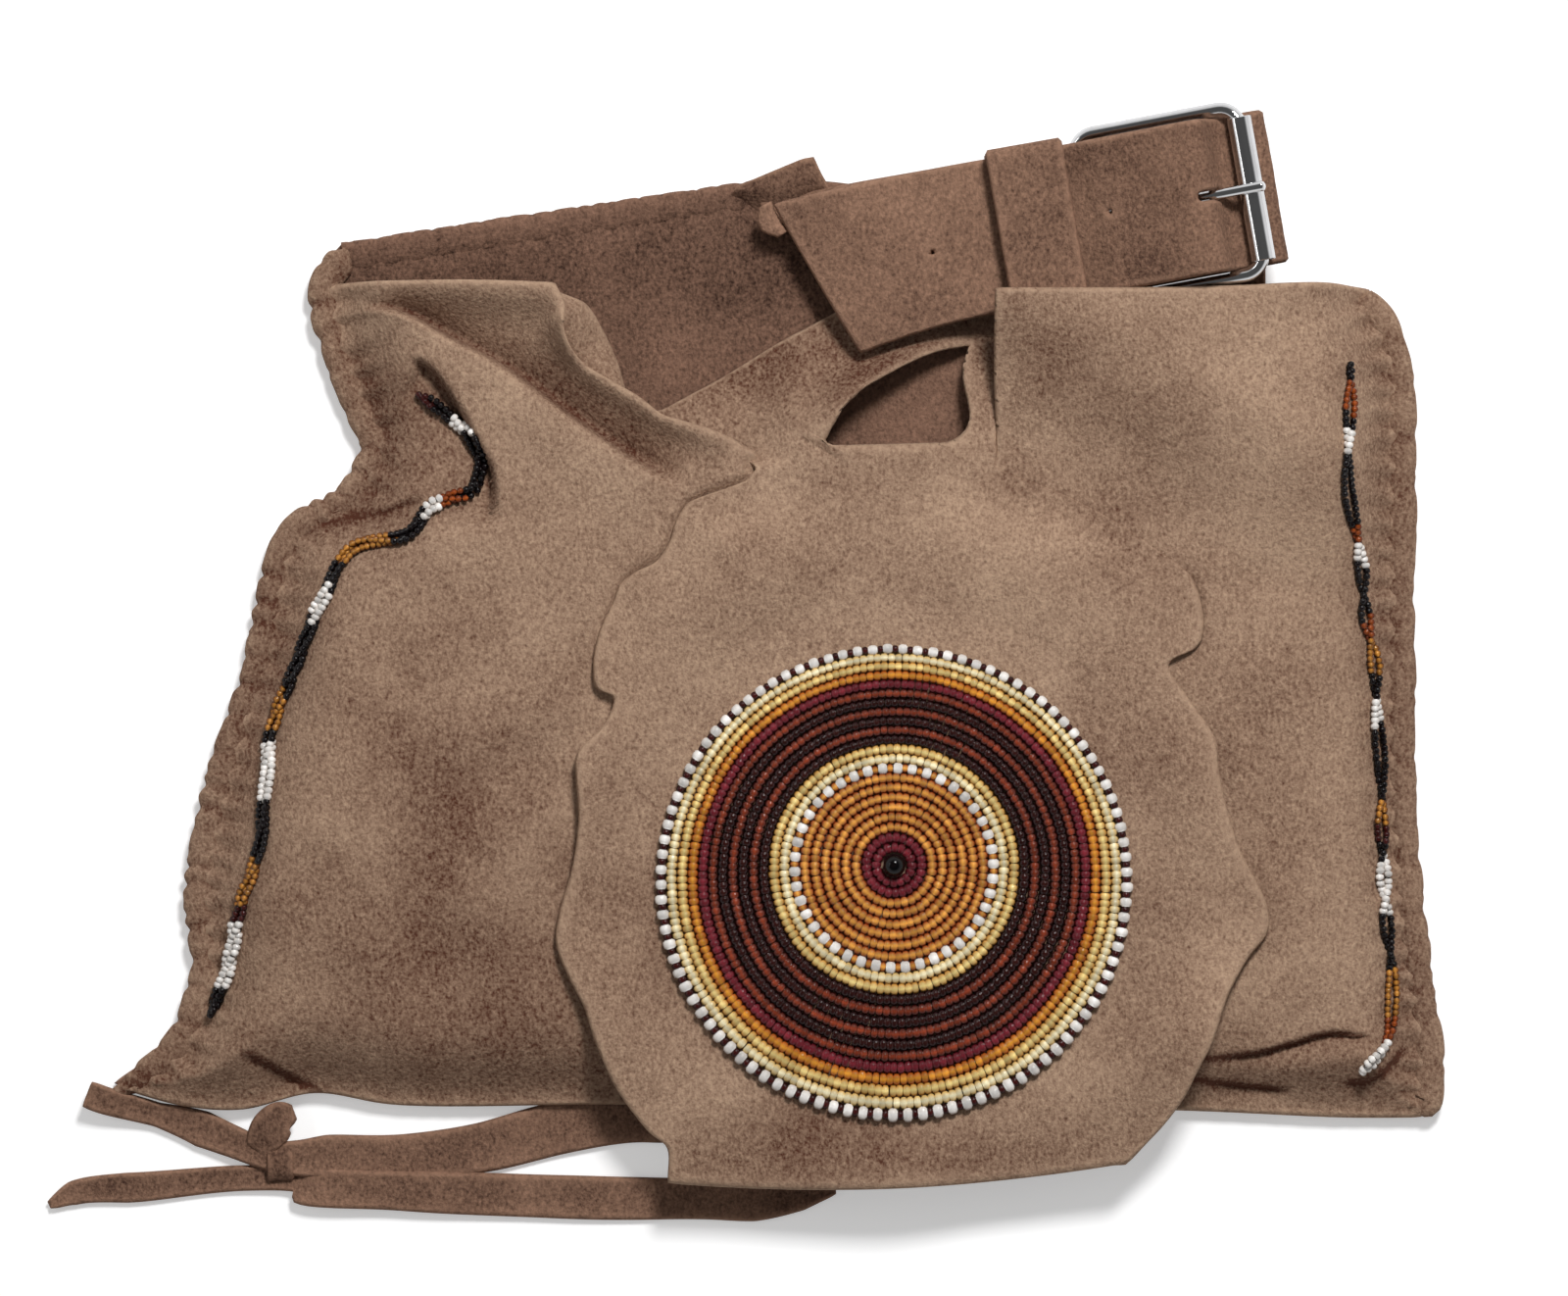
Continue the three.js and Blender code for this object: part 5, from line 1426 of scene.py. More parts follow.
@dataclass
class Rosette:
    """Rings of seed beads couched round a large black bead."""

    first: float = 3.69
    pitch: float = 2.137
    length: float = 1.47
    half_wide: float = 1.13
    half_high: float = 0.95
    drift: float = 3.5
    pair_length: float = 2.14
    stagger: float = 0.37
    sway: float = 0.3
    sway_pace: float = 2.2
    sway_rise: float = 4.0
    snug: float = 0.96
    pale_size: tuple[float, float, float] = (1.26, 1.16, 1.1)
    dark_size: tuple[float, float, float] = (0.76, 0.84, 0.84)
    middle_radius: float = 2.4
    dimple_start: float = 2.25
    rings: tuple[tuple[tuple[Glaze, ...], Slot], ...] = (
        ((Glaze.WINE,), Slot.WINE), ((Glaze.WINE,), Slot.WINE), ((Glaze.AMBER,), Slot.AMBER),
        ((Glaze.AMBER,), Slot.AMBER), ((Glaze.AMBER,), Slot.AMBER), ((Glaze.AMBER,), Slot.AMBER),
        ((Glaze.AMBER,), Slot.AMBER), ((Glaze.AMBER,), Slot.AMBER),
        ((Glaze.WHITE, Glaze.AMBER), Slot.WHITE), ((Glaze.CREAM,), Slot.GOLD), ((Glaze.GOLD,), Slot.GOLD),
        ((Glaze.DARK,), Slot.BROWN), ((Glaze.COPPER,), Slot.BROWN), ((Glaze.DARK,), Slot.BROWN),
        ((Glaze.COPPER,), Slot.BROWN), ((Glaze.DARK,), Slot.BROWN), ((Glaze.COPPER,), Slot.BROWN),
        ((Glaze.WINE,), Slot.WINE), ((Glaze.ORANGE,), Slot.AMBER), ((Glaze.GOLD,), Slot.GOLD),
        ((Glaze.CREAM,), Slot.GOLD), ((Glaze.WHITE, Glaze.BROWN), Slot.WHITE),
    )

    def build(self, finish: bpy.types.Material) -> None:
        """Make each ring and the middle bead."""
        for number, (glazes, slot) in enumerate(self.rings, 1):
            radius = self.first + (number - 1) * self.pitch
            room = self.length * (1.0 if len(glazes) == 1 else self.pair_length)
            repeats = round(2 * math.pi * radius / room)
            order = list(glazes) * repeats
            turn = np.arange(len(order)) * 2 * math.pi / len(order) + self.stagger * number
            share = (number - 1) / (len(self.rings) - 1)
            level = np.full(len(order), self.sway_rise * share)
            spots = np.stack([self.sway_pace * np.cos(turn), self.sway_pace * np.sin(turn), level], axis=1)
            sway = radius + self.sway * share * np.array([noise.noise(Vector(spot)) for spot in spots])
            middles = np.stack([
                sway * np.cos(turn), sway * np.sin(turn) - self.drift * share**2,
                np.full(len(order), ROSETTE_BASE + self.half_high),
            ], axis=1)
            axes = np.stack([-np.sin(turn), np.cos(turn), np.zeros(len(order))], axis=1)
            length = 2 * math.pi * radius / len(order)
            sizes = np.tile([length * self.snug, self.half_wide, self.half_high], (len(order), 1))
            span = self.pitch * (len(self.rings) - 1)
            sizes[:, 1] *= 1 - 2 * self.drift * share / span * np.sin(turn)
            if len(glazes) > 1:
                pale = np.array([g is Glaze.WHITE for g in order])
                sizes[pale] *= self.pale_size
                sizes[~pale] *= self.dark_size
            node = f"rosette_ring_{number:02d}"
            ring = SeedBead().thread(f"{node}_beads", middles, axes, sizes, order, number)
            seat(ring, finish, "root", slot, node)
        self.add_middle(finish)

    def add_middle(self, finish: bpy.types.Material) -> None:
        """Make the large bead: a ball with a dimple at each end of its hole."""
        bpy.ops.object.select_all(action="DESELECT")
        place = (0.0, 0.0, (ROSETTE_BASE + self.middle_radius) * MM)
        bpy.ops.mesh.primitive_uv_sphere_add(
            segments=28, ring_count=16, radius=self.middle_radius * MM, location=place,
            rotation=(0.0, math.pi / 2, 0.0),
        )
        piece = bpy.context.object
        piece.name = "rosette_middle_bead"
        pick_faces(piece, lambda face: abs(face.center.z) > self.dimple_start * MM)
        bpy.ops.mesh.inset(thickness=0.12 * MM, depth=-0.2 * MM)
        bpy.ops.object.mode_set(mode="OBJECT")
        bpy.ops.object.transform_apply(location=True, rotation=True, scale=True)
        piece.data.shade_smooth()
        color = np.tile([*linear(4, 4, 6), 1.0], (len(piece.data.vertices), 1))
        add_values(piece, "glaze", color)
        seat(piece, finish, "root", Slot.BLACK, "rosette_center_bead")


@dataclass
class BeadString:
    """Twisted strands of seed beads sewn onto the front."""

    name: str
    node: str
    line: Route
    sections: tuple[tuple[Glaze, float], ...]
    seed: int
    strands: int = 2
    length: float = 1.26
    half_wide: float = 0.78
    apart: float = 0.94
    twist_length: float = 27.0
    twist_drift: tuple[float, float] = (0.9, 9.0)
    sway: tuple[float, float] = (0.3, 6.0)
    taper: float = 4.0
    lifts: tuple[float, float] = (0.5, 0.6)
    stagger: float = 0.4
    section_shift: tuple[float, float] = (0.9, 0.6)
    seat_share: float = 0.8
    unevenness: float = 0.06
    pale_size: tuple[float, float, float] = (1.05, 1.2, 1.2)
    bead: SeedBead = SeedBead(girth=(0.4, 0.86, 1.0, 0.86, 0.4))

    def build(self, front: FrontPanel, finish: bpy.types.Material) -> bpy.types.Object:
        """Lay the strands along the line, twisted round each other."""
        path = curve(self.line, 600)
        travel = travelled(path)
        heading = headings(path)
        draw = np.random.default_rng(self.seed)
        places, axes, glazes, raised = [], [], [], []
        for strand in range(self.strands):
            stops = np.arange(self.length * (0.5 + self.stagger * strand), travel[-1], self.length)
            stops = stops + draw.normal(0.0, self.unevenness, len(stops))
            middle = np.stack([np.interp(stops, travel, path[:, k]) for k in (0, 1)], axis=1)
            way = np.stack([np.interp(stops, travel, heading[:, k]) for k in (0, 1)], axis=1)
            turns = stops / self.twist_length + strand / self.strands
            waves = (self.twist_drift, self.sway)
            drift, sway = (size * np.sin(stops / run + self.seed) for size, run in waves)
            twist = 2 * math.pi * turns + drift
            taper = smooth(stops / self.taper) * smooth((travel[-1] - stops) / self.taper)
            shift = self.apart * taper * np.cos(twist) + sway
            places.append(middle + np.stack([-way[:, 1], way[:, 0]], axis=1) * shift[:, None])
            axes.append(way)
            raised.append(self.lifts[0] + self.lifts[1] * np.sin(twist) * taper)
            later, sooner = self.section_shift
            bounds = np.array([end for _, end in self.sections]) + later * strand - sooner
            picks = np.minimum(np.searchsorted(bounds, stops), len(self.sections) - 1)
            glazes += [self.sections[k][0] for k in picks]
        flat, way = np.concatenate(places), np.concatenate(axes)
        step = 0.6
        height = front.relief(flat)[0]
        ahead = front.relief(flat + way * step)[0]
        back = front.relief(flat - way * step)[0]
        rise = (ahead - back) / (2 * step)
        hole = np.concatenate([way, rise[:, None]], axis=1)
        hole /= np.linalg.norm(hole, axis=1, keepdims=True)
        lifted = height + self.half_wide * self.seat_share + np.concatenate(raised)
        middles = np.concatenate([flat, lifted[:, None]], axis=1)
        sizes = np.tile([self.length, self.half_wide, self.half_wide], (len(flat), 1))
        pale = np.array([g is Glaze.WHITE for g in glazes])
        sizes[pale] *= self.pale_size
        piece = self.bead.thread(self.name, middles, hole, sizes, glazes, self.seed)
        return seat(piece, finish, "root", Slot.AMBER, self.node)


LEFT_STRING = BeadString(
    "bead_string_left_beads", "bead_string_left",
    [[-99.8, 98.6], [-92, 93.5], [-86.8, 86], [-88, 79], [-96, 75.5], [-102, 68.5], [-113, 66.4],
     [-119.5, 56], [-125, 41], [-130.5, 28], [-131.5, 14], [-132.4, 3], [-137, -9], [-140, -24], [-143, -32]],
    ((Glaze.BROWN, 3.4), (Glaze.BLACK, 9.4), (Glaze.WHITE, 13.4), (Glaze.BLACK, 28.4), (Glaze.RUST, 32.8),
     (Glaze.WHITE, 37.5), (Glaze.BLACK, 46.5), (Glaze.HONEY, 59.3), (Glaze.BLACK, 65.4), (Glaze.WHITE, 72.5),
     (Glaze.BLACK, 89.1), (Glaze.HONEY, 96.7), (Glaze.BLACK, 99.9), (Glaze.WHITE, 112.6),
     (Glaze.BLACK, 124.9), (Glaze.HONEY, 135.3), (Glaze.BROWN, 139.0), (Glaze.WHITE, 152.3),
     (Glaze.BLACK, 159.7)),
    seed=41, strands=3,
)
RIGHT_STRING = BeadString(
    "bead_string_right_beads", "bead_string_right",
    [[95, 105], [94.8, 92], [95, 79], [97, 67], [98.8, 52], [101, 43], [101.2, 31], [102.2, 16],
     [102.8, 0], [103, -12], [104.6, -26], [103.4, -37], [97.5, -43.5]],
    ((Glaze.BLACK, 4.2), (Glaze.RUST, 11.1), (Glaze.BLACK, 14.3), (Glaze.WHITE, 18.5), (Glaze.BLACK, 34.3),
     (Glaze.RUST, 38.0), (Glaze.WHITE, 42.6), (Glaze.BLACK, 54.0), (Glaze.RUST, 58.8), (Glaze.HONEY, 65.8),
     (Glaze.BLACK, 70.7), (Glaze.WHITE, 76.7), (Glaze.BLACK, 92.8), (Glaze.HONEY, 97.5), (Glaze.BROWN, 101.0),
     (Glaze.BLACK, 104.2), (Glaze.WHITE, 115.9), (Glaze.BLACK, 127.4), (Glaze.HONEY, 137.7),
     (Glaze.RUST, 143.3), (Glaze.WHITE, 151.7)),
    seed=57,
)


@dataclass
class Strap:
    """Buckled strap, its keeper and the length folded away inside the bag."""

    origin: tuple[float, float, float] = (40.2, 134.8, 10.5)
    angle: float = 10.0
    half_wide: float = 15.5
    wrap_inner: float = 1.8
    bar_length: float = 34.6
    bar_height: float = 9.9215
    roller_radius: float = 2.55
    prong_radius: float = 1.1
    keeper_ends: tuple[float, float] = (-18.0, -3.0)
    keeper_room: float = 0.4
    tip_slant: float = -0.4
    dark_end: float = 0.4
    dark_zone: tuple[float, float] = (-24.0, 40.0)
    tip_bend: float = 0.0034
    bend_start: float = -20.0
    snug: float = 0.97
    slot: tuple[float, float] = (22.5, 28.6)
    slot_room: float = 0.45
    over_prong: Route = ((4, 5.3), (8, 10), (12, 14.5), (16, 19.1), (20, 23.8), (23.5, 26.6), (25.6, 23.8))
    run_ends: tuple[float, float, float] = (-28.0, 105.0, 139.0)
    heel_slot: tuple[float, float] = (10.5, 2.0)
    holes: tuple[tuple[float, float, float], ...] = ((-32.8, -0.9, 0.95), (5.0, 0.4, 0.95))

    def world(self, local: Array) -> Array:
        """Turn places along, across and above the strap into places in the bag's frame."""
        c, s = math.cos(math.radians(self.angle)), math.sin(math.radians(self.angle))
        along, across, up = local[..., 0], local[..., 1], local[..., 2]
        x, y, z = self.origin
        return np.stack([x + along * c - across * s, y + along * s + across * c, z + up], axis=-1)

    def prong_height(self, along: float) -> float:
        """Height of the prong's middle at rest on the roller."""
        start = self.wrap_inner + 1.4 - self.prong_radius + SEAT
        end = self.bar_height + self.roller_radius + SEAT + self.prong_radius
        return start + (end - start) * along / self.bar_length

    @staticmethod
    def arc(middle: tuple[float, float], radius: float, turn: tuple[float, float]) -> list[list[float]]:
        """Points on a turn of the strap."""
        turns = np.radians(np.linspace(*turn, 12))
        return [[middle[0] + radius * math.cos(t), middle[1] + radius * math.sin(t)] for t in turns]

    def ribbon(
        self,
        name: str,
        profile: Array,
        *,
        trim: Route = ((0.0, 0.0),),
        slant: float = 0.0,
        bend: float = 0.0,
        cuts: Iterable[Array] = (),
        columns: int = 62,
        tone: float = 0.0,
    ) -> bpy.types.Object:
        """Make a length of strap along a profile.

        Args:
            name: Name of the piece.
            profile: Evenly spaced places along the strap and their heights.
            trim: Places along the strap, and how much of the lower edge is cut off there.
            slant: How far the start leans for each millimetre across.
            bend: Sideways bend of the part left of the keeper.
            cuts: Outlines cut out, as travel along the profile and place across.
            columns: Number of faces across.
            tone: Tone of the nap.

        Returns:
            The piece, not yet seated.
        """
        travel = travelled(profile)
        way = headings(profile)
        across = np.linspace(0.0, 1.0, columns + 1)[None, :]
        cut = np.asarray(trim, float)
        low = -self.half_wide + np.interp(profile[:, 0], cut[:, 0], cut[:, 1])[:, None]
        wide = low + (self.half_wide - low) * across
        lean = slant * wide[:1] if slant else np.zeros((1, columns + 1))
        begin = np.maximum(lean - lean.min(), 0.0)
        along = begin + (travel[-1] - begin) * (travel / travel[-1])[:, None]
        plan = np.stack([along, np.broadcast_to(wide, along.shape)], axis=-1)
        keep = np.ones((len(travel) - 1, columns), bool)
        for outline in cuts:
            plan, keep = cut_away(plan, keep, outline)
        t, w = plan[..., 0], plan[..., 1]
        place = np.interp(t, travel, profile[:, 0])
        height = np.interp(t, travel, profile[:, 1])
        ahead = np.interp(t, travel, way[:, 0])
        climb = np.interp(t, travel, way[:, 1])
        flat = np.stack([t, w], axis=-1).reshape(-1, 2)
        soft = 0.22 * wander(flat, 14.0, 7.7).reshape(t.shape)
        bent = np.where(place < self.bend_start, -bend * (place - self.bend_start) ** 2, 0.0)
        shift = bent * (0.6 - 0.4 * w / self.half_wide)
        faces = []
        for side in (SUEDE / 2, -SUEDE / 2):
            lift = side * self.snug + soft
            local = np.stack([place - climb * lift, w + shift, height + ahead * lift], axis=-1)
            faces.append(self.world(local))
        shade = tone + 0.2 * wander(flat, 18.0, 2.2) - 0.12 * bell(np.abs(flat[:, 1]) - self.half_wide, 2.0)
        shade -= self.dark_end * ramp(place.ravel(), self.dark_zone)
        return suede_piece(name, faces[0], faces[1], shade, keep)

    def tip_half(self, finish: bpy.types.Material) -> None:
        """Over the bar and the prong, under the roller, and folded back below."""
        gap = self.bar_height - self.roller_radius - SEAT - SUEDE / 2
        over = [
            [place, self.prong_height(spot) + self.prong_radius + 3 * SEAT + SUEDE / 2]
            for place, spot in self.over_prong
        ]
        fold = (self.bar_length + self.roller_radius + SEAT, gap - SUEDE)
        stations = [[-63.2, -0.9], [-57.5, 0.0], [-50, 1.1], [-42, 1.5], [-32, 1.5], [-20, 1.5], [-14, 1.5]]
        stations += [[-7, 3.15], [0, 4.8], *over, [28.2, gap + 2.3], [31, gap + 0.5], [34, gap]]
        stations += self.arc(fold, SUEDE, (90.0, -100.0))
        stations += [[30, gap - 6], [22, -5.0], [16, -5.4], [7, -5.4]]
        profile = curve(stations, 230)
        travel = travelled(profile)
        upper = travel < travel[np.argmax(profile[:, 0])]
        reach = np.interp(self.slot, profile[upper, 0], travel[upper])
        half = self.prong_radius + self.slot_room
        turn = np.linspace(-math.pi / 2, math.pi / 2, 7)
        ends = [(reach[1] - half, 1.0), (reach[0] + half, -1.0)]
        slot = [[end + way * half * math.cos(t), way * half * math.sin(t)] for end, way in ends for t in turn]
        cuts = [np.array(slot)]
        for place, across, radius in self.holes:
            spot = np.interp(place, profile[upper, 0], travel[upper])
            cuts.append(round_hole((spot, across), radius, 12))
        piece = self.ribbon(
            "strap_tip_suede", profile, slant=self.tip_slant, bend=self.tip_bend, cuts=cuts, tone=0.2
        )
        seat(piece, finish, "root", Slot.STRAP, "strap_tip_half")

    def buckle_half(self, finish: bpy.types.Material) -> None:
        """From the back panel up to the buckle's heel bar, round it and back."""
        middle = self.wrap_inner + SUEDE / 2
        stations = [[-66, -7.5], [-59, -7.5], [-52, -3.6], [-45, -0.6], [-30, -0.6], [-14, -0.6]]
        stations += self.arc((0.0, 0.0), middle, (100.0, -90.0)) + [[-10, -middle], [-22, -middle]]
        profile = curve(stations, 170)
        trim = [[-66, 25.0], [-59, 24.5], [-52, 20.0], [-46, 9.0], [-41, 0.0]]
        travel = travelled(profile)
        past = travel[np.argmax(profile[:, 0])]
        far, half = self.heel_slot
        slot = np.array([[past - far, -half], [past + far, -half], [past + far, half], [past - far, half]])
        piece = self.ribbon("strap_buckle_suede", profile, trim=trim, cuts=[slot], columns=46, tone=-0.1)
        seat(piece, finish, "root", Slot.STRAP, "strap_buckle_half")

    def folded_length(self, finish: bpy.types.Material) -> None:
        """The hidden rest of the strap, folded to and fro inside the bag."""
        pitch = SUEDE + SEAT
        first = BACK_TOP + SEAT + SUEDE / 2
        near, far, start = self.run_ends
        line = [[start, first]] + self.arc((near, first + pitch / 2), pitch / 2, (-90.0, -270.0))
        line += self.arc((far, first + 1.5 * pitch), pitch / 2, (-90.0, 90.0))
        line += [[near, first + 2 * pitch]]
        profile = evenly(np.array(line), 260)
        away = Strap(origin=(62.0, 0.0, 0.0), angle=90.0)
        piece = away.ribbon("strap_folded_suede", profile, columns=24, tone=-0.1)
        seat(piece, finish, "root", Slot.STRAP, "strap_folded_length")

    def keeper(self, finish: bpy.types.Material) -> None:
        """Suede loop round both halves, its ends butted below."""
        half = self.half_wide + self.keeper_room + SUEDE / 2
        outer = self.wrap_inner + SUEDE
        low = -outer - self.keeper_room - SUEDE / 2
        high = outer + SEAT + SUEDE + self.keeper_room + SUEDE / 2
        corner = 1.5
        path = [[-0.2, low]]
        spots = [(-half + corner, low + corner, 270, 180), (-half + corner, high - corner, 180, 90),
                 (half - corner, high - corner, 90, 0), (half - corner, low + corner, 0, -90)]
        for across, up, begin, end in spots:
            path += self.arc((across, up), corner, (begin, end))
        line = evenly(np.array(path + [[0.2, low]]), 190)
        way = headings(line)
        places = np.linspace(*self.keeper_ends, 27)
        grids = []
        for side in (SUEDE / 2, -SUEDE / 2):
            ring = line + np.stack([-way[:, 1], way[:, 0]], axis=1) * side * self.snug
            local = np.empty((len(ring), len(places), 3))
            local[..., 0] = places[None, :]
            local[..., 1:] = ring[:, None]
            grids.append(self.world(local))
        flat = np.stack(np.meshgrid(places, np.arange(len(line)) * 0.55), axis=-1).reshape(-1, 2)
        shade = -0.02 + 0.2 * wander(flat, 12.0, 3.9)
        piece = suede_piece("strap_keeper_suede", grids[0], grids[1], shade)
        take(piece)
        bpy.ops.object.mode_set(mode="EDIT")
        bpy.ops.mesh.select_all(action="SELECT")
        bpy.ops.mesh.normals_make_consistent(inside=False)
        bpy.ops.object.mode_set(mode="OBJECT")
        seat(piece, finish, "keeper", Slot.STRAP, "strap_keeper")

    def anchor(self, finish: bpy.types.Material) -> None:
        """Strap end sewn to the hem, standing a little above it."""
        steps = 24
        share = np.linspace(0.0, 1.0, steps + 1)
        low = evenly(np.array([[-34.5, 139.4], [-25.0, 131.5], [-12.5, 138.5]]), steps)
        high = evenly(np.array([[-32.8, 141.8], [-19.2, 147.4], [-16.8, 147.8], [-13.8, 141.4]]), steps)
        plan = low[None] * (1 - share)[:, None, None] + high[None] * share[:, None, None]
        flat = plan.reshape(-1, 2)
        climb = np.repeat(smooth(share / 0.8), steps + 1)
        rise = 1.5 + (4.1 + 0.9 * (flat[:, 0] + 24.0) / 10.0) * climb + 0.3 * wander(flat, 8.0, 1.0)
        grid = np.concatenate([flat, rise[:, None]], axis=1).reshape(*plan.shape[:2], 3)
        tone = -0.35 + 0.2 * wander(flat, 9.0, 5.0)
        piece = suede_piece("strap_anchor_suede", grid, grid - [0, 0, THIN_SUEDE], tone)
        seat(piece, finish, "root", Slot.STRAP)

    def frayed_nub(self, finish: bpy.types.Material) -> None:
        """Small frayed end of suede that hangs out under the strap's cut tip."""
        route = [[-26.8, 137.8, 9.6], [-26.6, 135.6, 9.2], [-25.4, 133.4, 9.0], [-23.4, 132.0, 9.2]]
        spine = curve(route, 22)
        share = np.linspace(0.0, 1.0, len(spine))
        half = 1.9 * np.sin(math.pi * (0.16 + 0.7 * share)) ** 0.6
        half *= 1.0 + 0.25 * np.array([noise.noise(Vector((6.0 * t, 2.0, 1.0))) for t in share])
        span = np.linspace(-1.0, 1.0, 9)
        top = spine[:, None] + np.array([0.85, 0.5, 0.0]) * (span[None] * half[:, None])[..., None]
        top[..., 2] += 0.5 * (1.0 - span[None] ** 2)
        under, tone = top - [0, 0, WORN_SUEDE], np.full(top.shape[:2], 0.5)
        piece = suede_piece("strap_frayed_nub", top, under, tone)
        seat(piece, finish, "root", Slot.STRAP)

    def build(self, finish: bpy.types.Material) -> None:
        """Make all lengths of the strap."""
        self.tip_half(finish)
        self.buckle_half(finish)
        self.folded_length(finish)
        self.keeper(finish)
        self.anchor(finish)
        self.frayed_nub(finish)


@dataclass
class Buckle:
    """Chrome roller buckle: bent wire, tube and prong."""

    strap: Strap
    wire: float = 1.5
    corner: float = 4.5
    half_wide: float = 17.5
    tilt: float = 16.0
    roller_half: float = 15.0
    roller_steps: Route = ((0.15, 0.12), (0.5, 0.0), (0.02, -1.4))
    overhang: float = 2.0
    pin_start: float = 2.2
    pin_steps: Route = ((0.1, 0.28), (0.25, 0.26), (0.35, 0.16))
    eye_radii: tuple[float, float] = (2.5, 0.68)
    eye_stretch: float = 2.1
    flat_end: float = 0.9
    sharp_angle: float = 40.0

    def settle(self, piece: bpy.types.Object, local: Matrix, name: str) -> bpy.types.Object:
        """Put a piece modelled at the origin into its place on the strap, with its mesh placed."""
        turn = Matrix.Rotation(math.radians(self.strap.angle), 4, "Z")
        piece.name = name
        piece.matrix_world = Matrix.Translation(Vector(self.strap.origin) * MM) @ turn @ local
        take(piece)
        bpy.ops.object.transform_apply(location=True, rotation=True, scale=True)
        bpy.ops.object.mode_set(mode="EDIT")
        bpy.ops.mesh.select_all(action="SELECT")
        bpy.ops.mesh.remove_doubles(threshold=1e-6)
        bpy.ops.mesh.normals_make_consistent(inside=False)
        bpy.ops.object.mode_set(mode="OBJECT")
        bpy.ops.object.shade_smooth_by_angle(angle=math.radians(self.sharp_angle))
        return piece

    def frame_wire(self) -> bpy.types.Object:
        """Bend the wire round the frame's rectangle."""
        length = self.strap.bar_length / math.cos(math.radians(self.tilt))
        bpy.ops.object.select_all(action="DESELECT")
        bpy.ops.mesh.primitive_plane_add(size=1.0)
        piece = bpy.context.object
        piece.scale = (length * MM, 2 * self.half_wide * MM, 1.0)
        bpy.ops.object.transform_apply(location=False, rotation=False, scale=True)
        bpy.ops.object.mode_set(mode="EDIT")
        bpy.ops.mesh.select_all(action="SELECT")
        bpy.ops.mesh.bevel(offset=self.corner * MM, offset_type="OFFSET", segments=9, affect="VERTICES")
        bpy.ops.mesh.delete(type="ONLY_FACE")
        bpy.ops.object.mode_set(mode="OBJECT")
        bpy.ops.object.convert(target="CURVE")
        piece = bpy.context.object
        piece.data.dimensions = "3D"
        piece.data.bevel_depth = self.wire * MM
        piece.data.bevel_resolution = 7
        bpy.ops.object.convert(target="MESH")
        lift = Matrix.Rotation(-math.radians(self.tilt), 4, "Y")
        place = lift @ Matrix.Translation((length * MM / 2, 0, 0))
        return self.settle(bpy.context.object, place, "buckle_wire")

    def roller(self) -> bpy.types.Object:
        """Make the tube on the front bar, hollowed at both ends."""
        bpy.ops.object.select_all(action="DESELECT")
        radius = self.strap.roller_radius * MM
        bpy.ops.mesh.primitive_cylinder_add(vertices=40, radius=radius, depth=2 * self.roller_half * MM)
        piece = bpy.context.object
        pick_faces(piece, lambda face: abs(face.normal.z) > self.flat_end)
        for thickness, depth in self.roller_steps:
            bpy.ops.mesh.inset(thickness=thickness * MM, depth=depth * MM)
        bpy.ops.object.mode_set(mode="OBJECT")
        spot = Vector((self.strap.bar_length, 0.0, self.strap.bar_height)) * MM
        across = Matrix.Rotation(math.pi / 2, 4, "X")
        return self.settle(piece, Matrix.Translation(spot) @ across, "buckle_tube")

    def prong(self) -> bpy.types.Object:
        """Make the pin with a rounded tip and the eye that turns on the heel bar."""
        rise, end = self.strap.prong_height, self.strap.bar_length + self.overhang
        a, b = (Vector((place, 0.0, rise(place))) * MM for place in (self.pin_start, end))
        bpy.ops.object.select_all(action="DESELECT")
        bpy.ops.mesh.primitive_torus_add(
            major_segments=32, minor_segments=12, major_radius=self.eye_radii[0] * MM,
            minor_radius=self.eye_radii[1] * MM, rotation=(math.pi / 2, 0.0, 0.0),
        )
        eye = bpy.context.object
        eye.scale = (1.0, 1.0, self.eye_stretch)
        bpy.ops.object.transform_apply(location=True, rotation=True, scale=True)
        bpy.ops.object.select_all(action="DESELECT")
        radius = self.strap.prong_radius * MM
        bpy.ops.mesh.primitive_cylinder_add(vertices=24, radius=radius, depth=(b - a).length)
        pin = bpy.context.object
        pick_faces(pin, lambda face: face.normal.z > self.flat_end)
        for thickness, depth in self.pin_steps:
            bpy.ops.mesh.inset(thickness=thickness * MM, depth=depth * MM)
        bpy.ops.object.mode_set(mode="OBJECT")
        turn = (b - a).to_track_quat("Z", "Y").to_matrix().to_4x4()
        pin.matrix_world = Matrix.Translation((a + b) / 2) @ turn
        bpy.ops.object.transform_apply(location=True, rotation=True, scale=True)
        eye.select_set(True)
        bpy.context.view_layer.objects.active = pin
        bpy.ops.object.join()
        return self.settle(pin, Matrix.Identity(4), "buckle_pin")

    def build(self, finish: bpy.types.Material) -> None:
        """Make the three pieces of metal, each on its own body."""
        made = ((self.frame_wire(), "frame"), (self.roller(), "roller"), (self.prong(), "prong"))
        for piece, body in made:
            piece.data.materials.clear()
            seat(piece, finish, body, Slot.METAL, f"buckle_{body}")


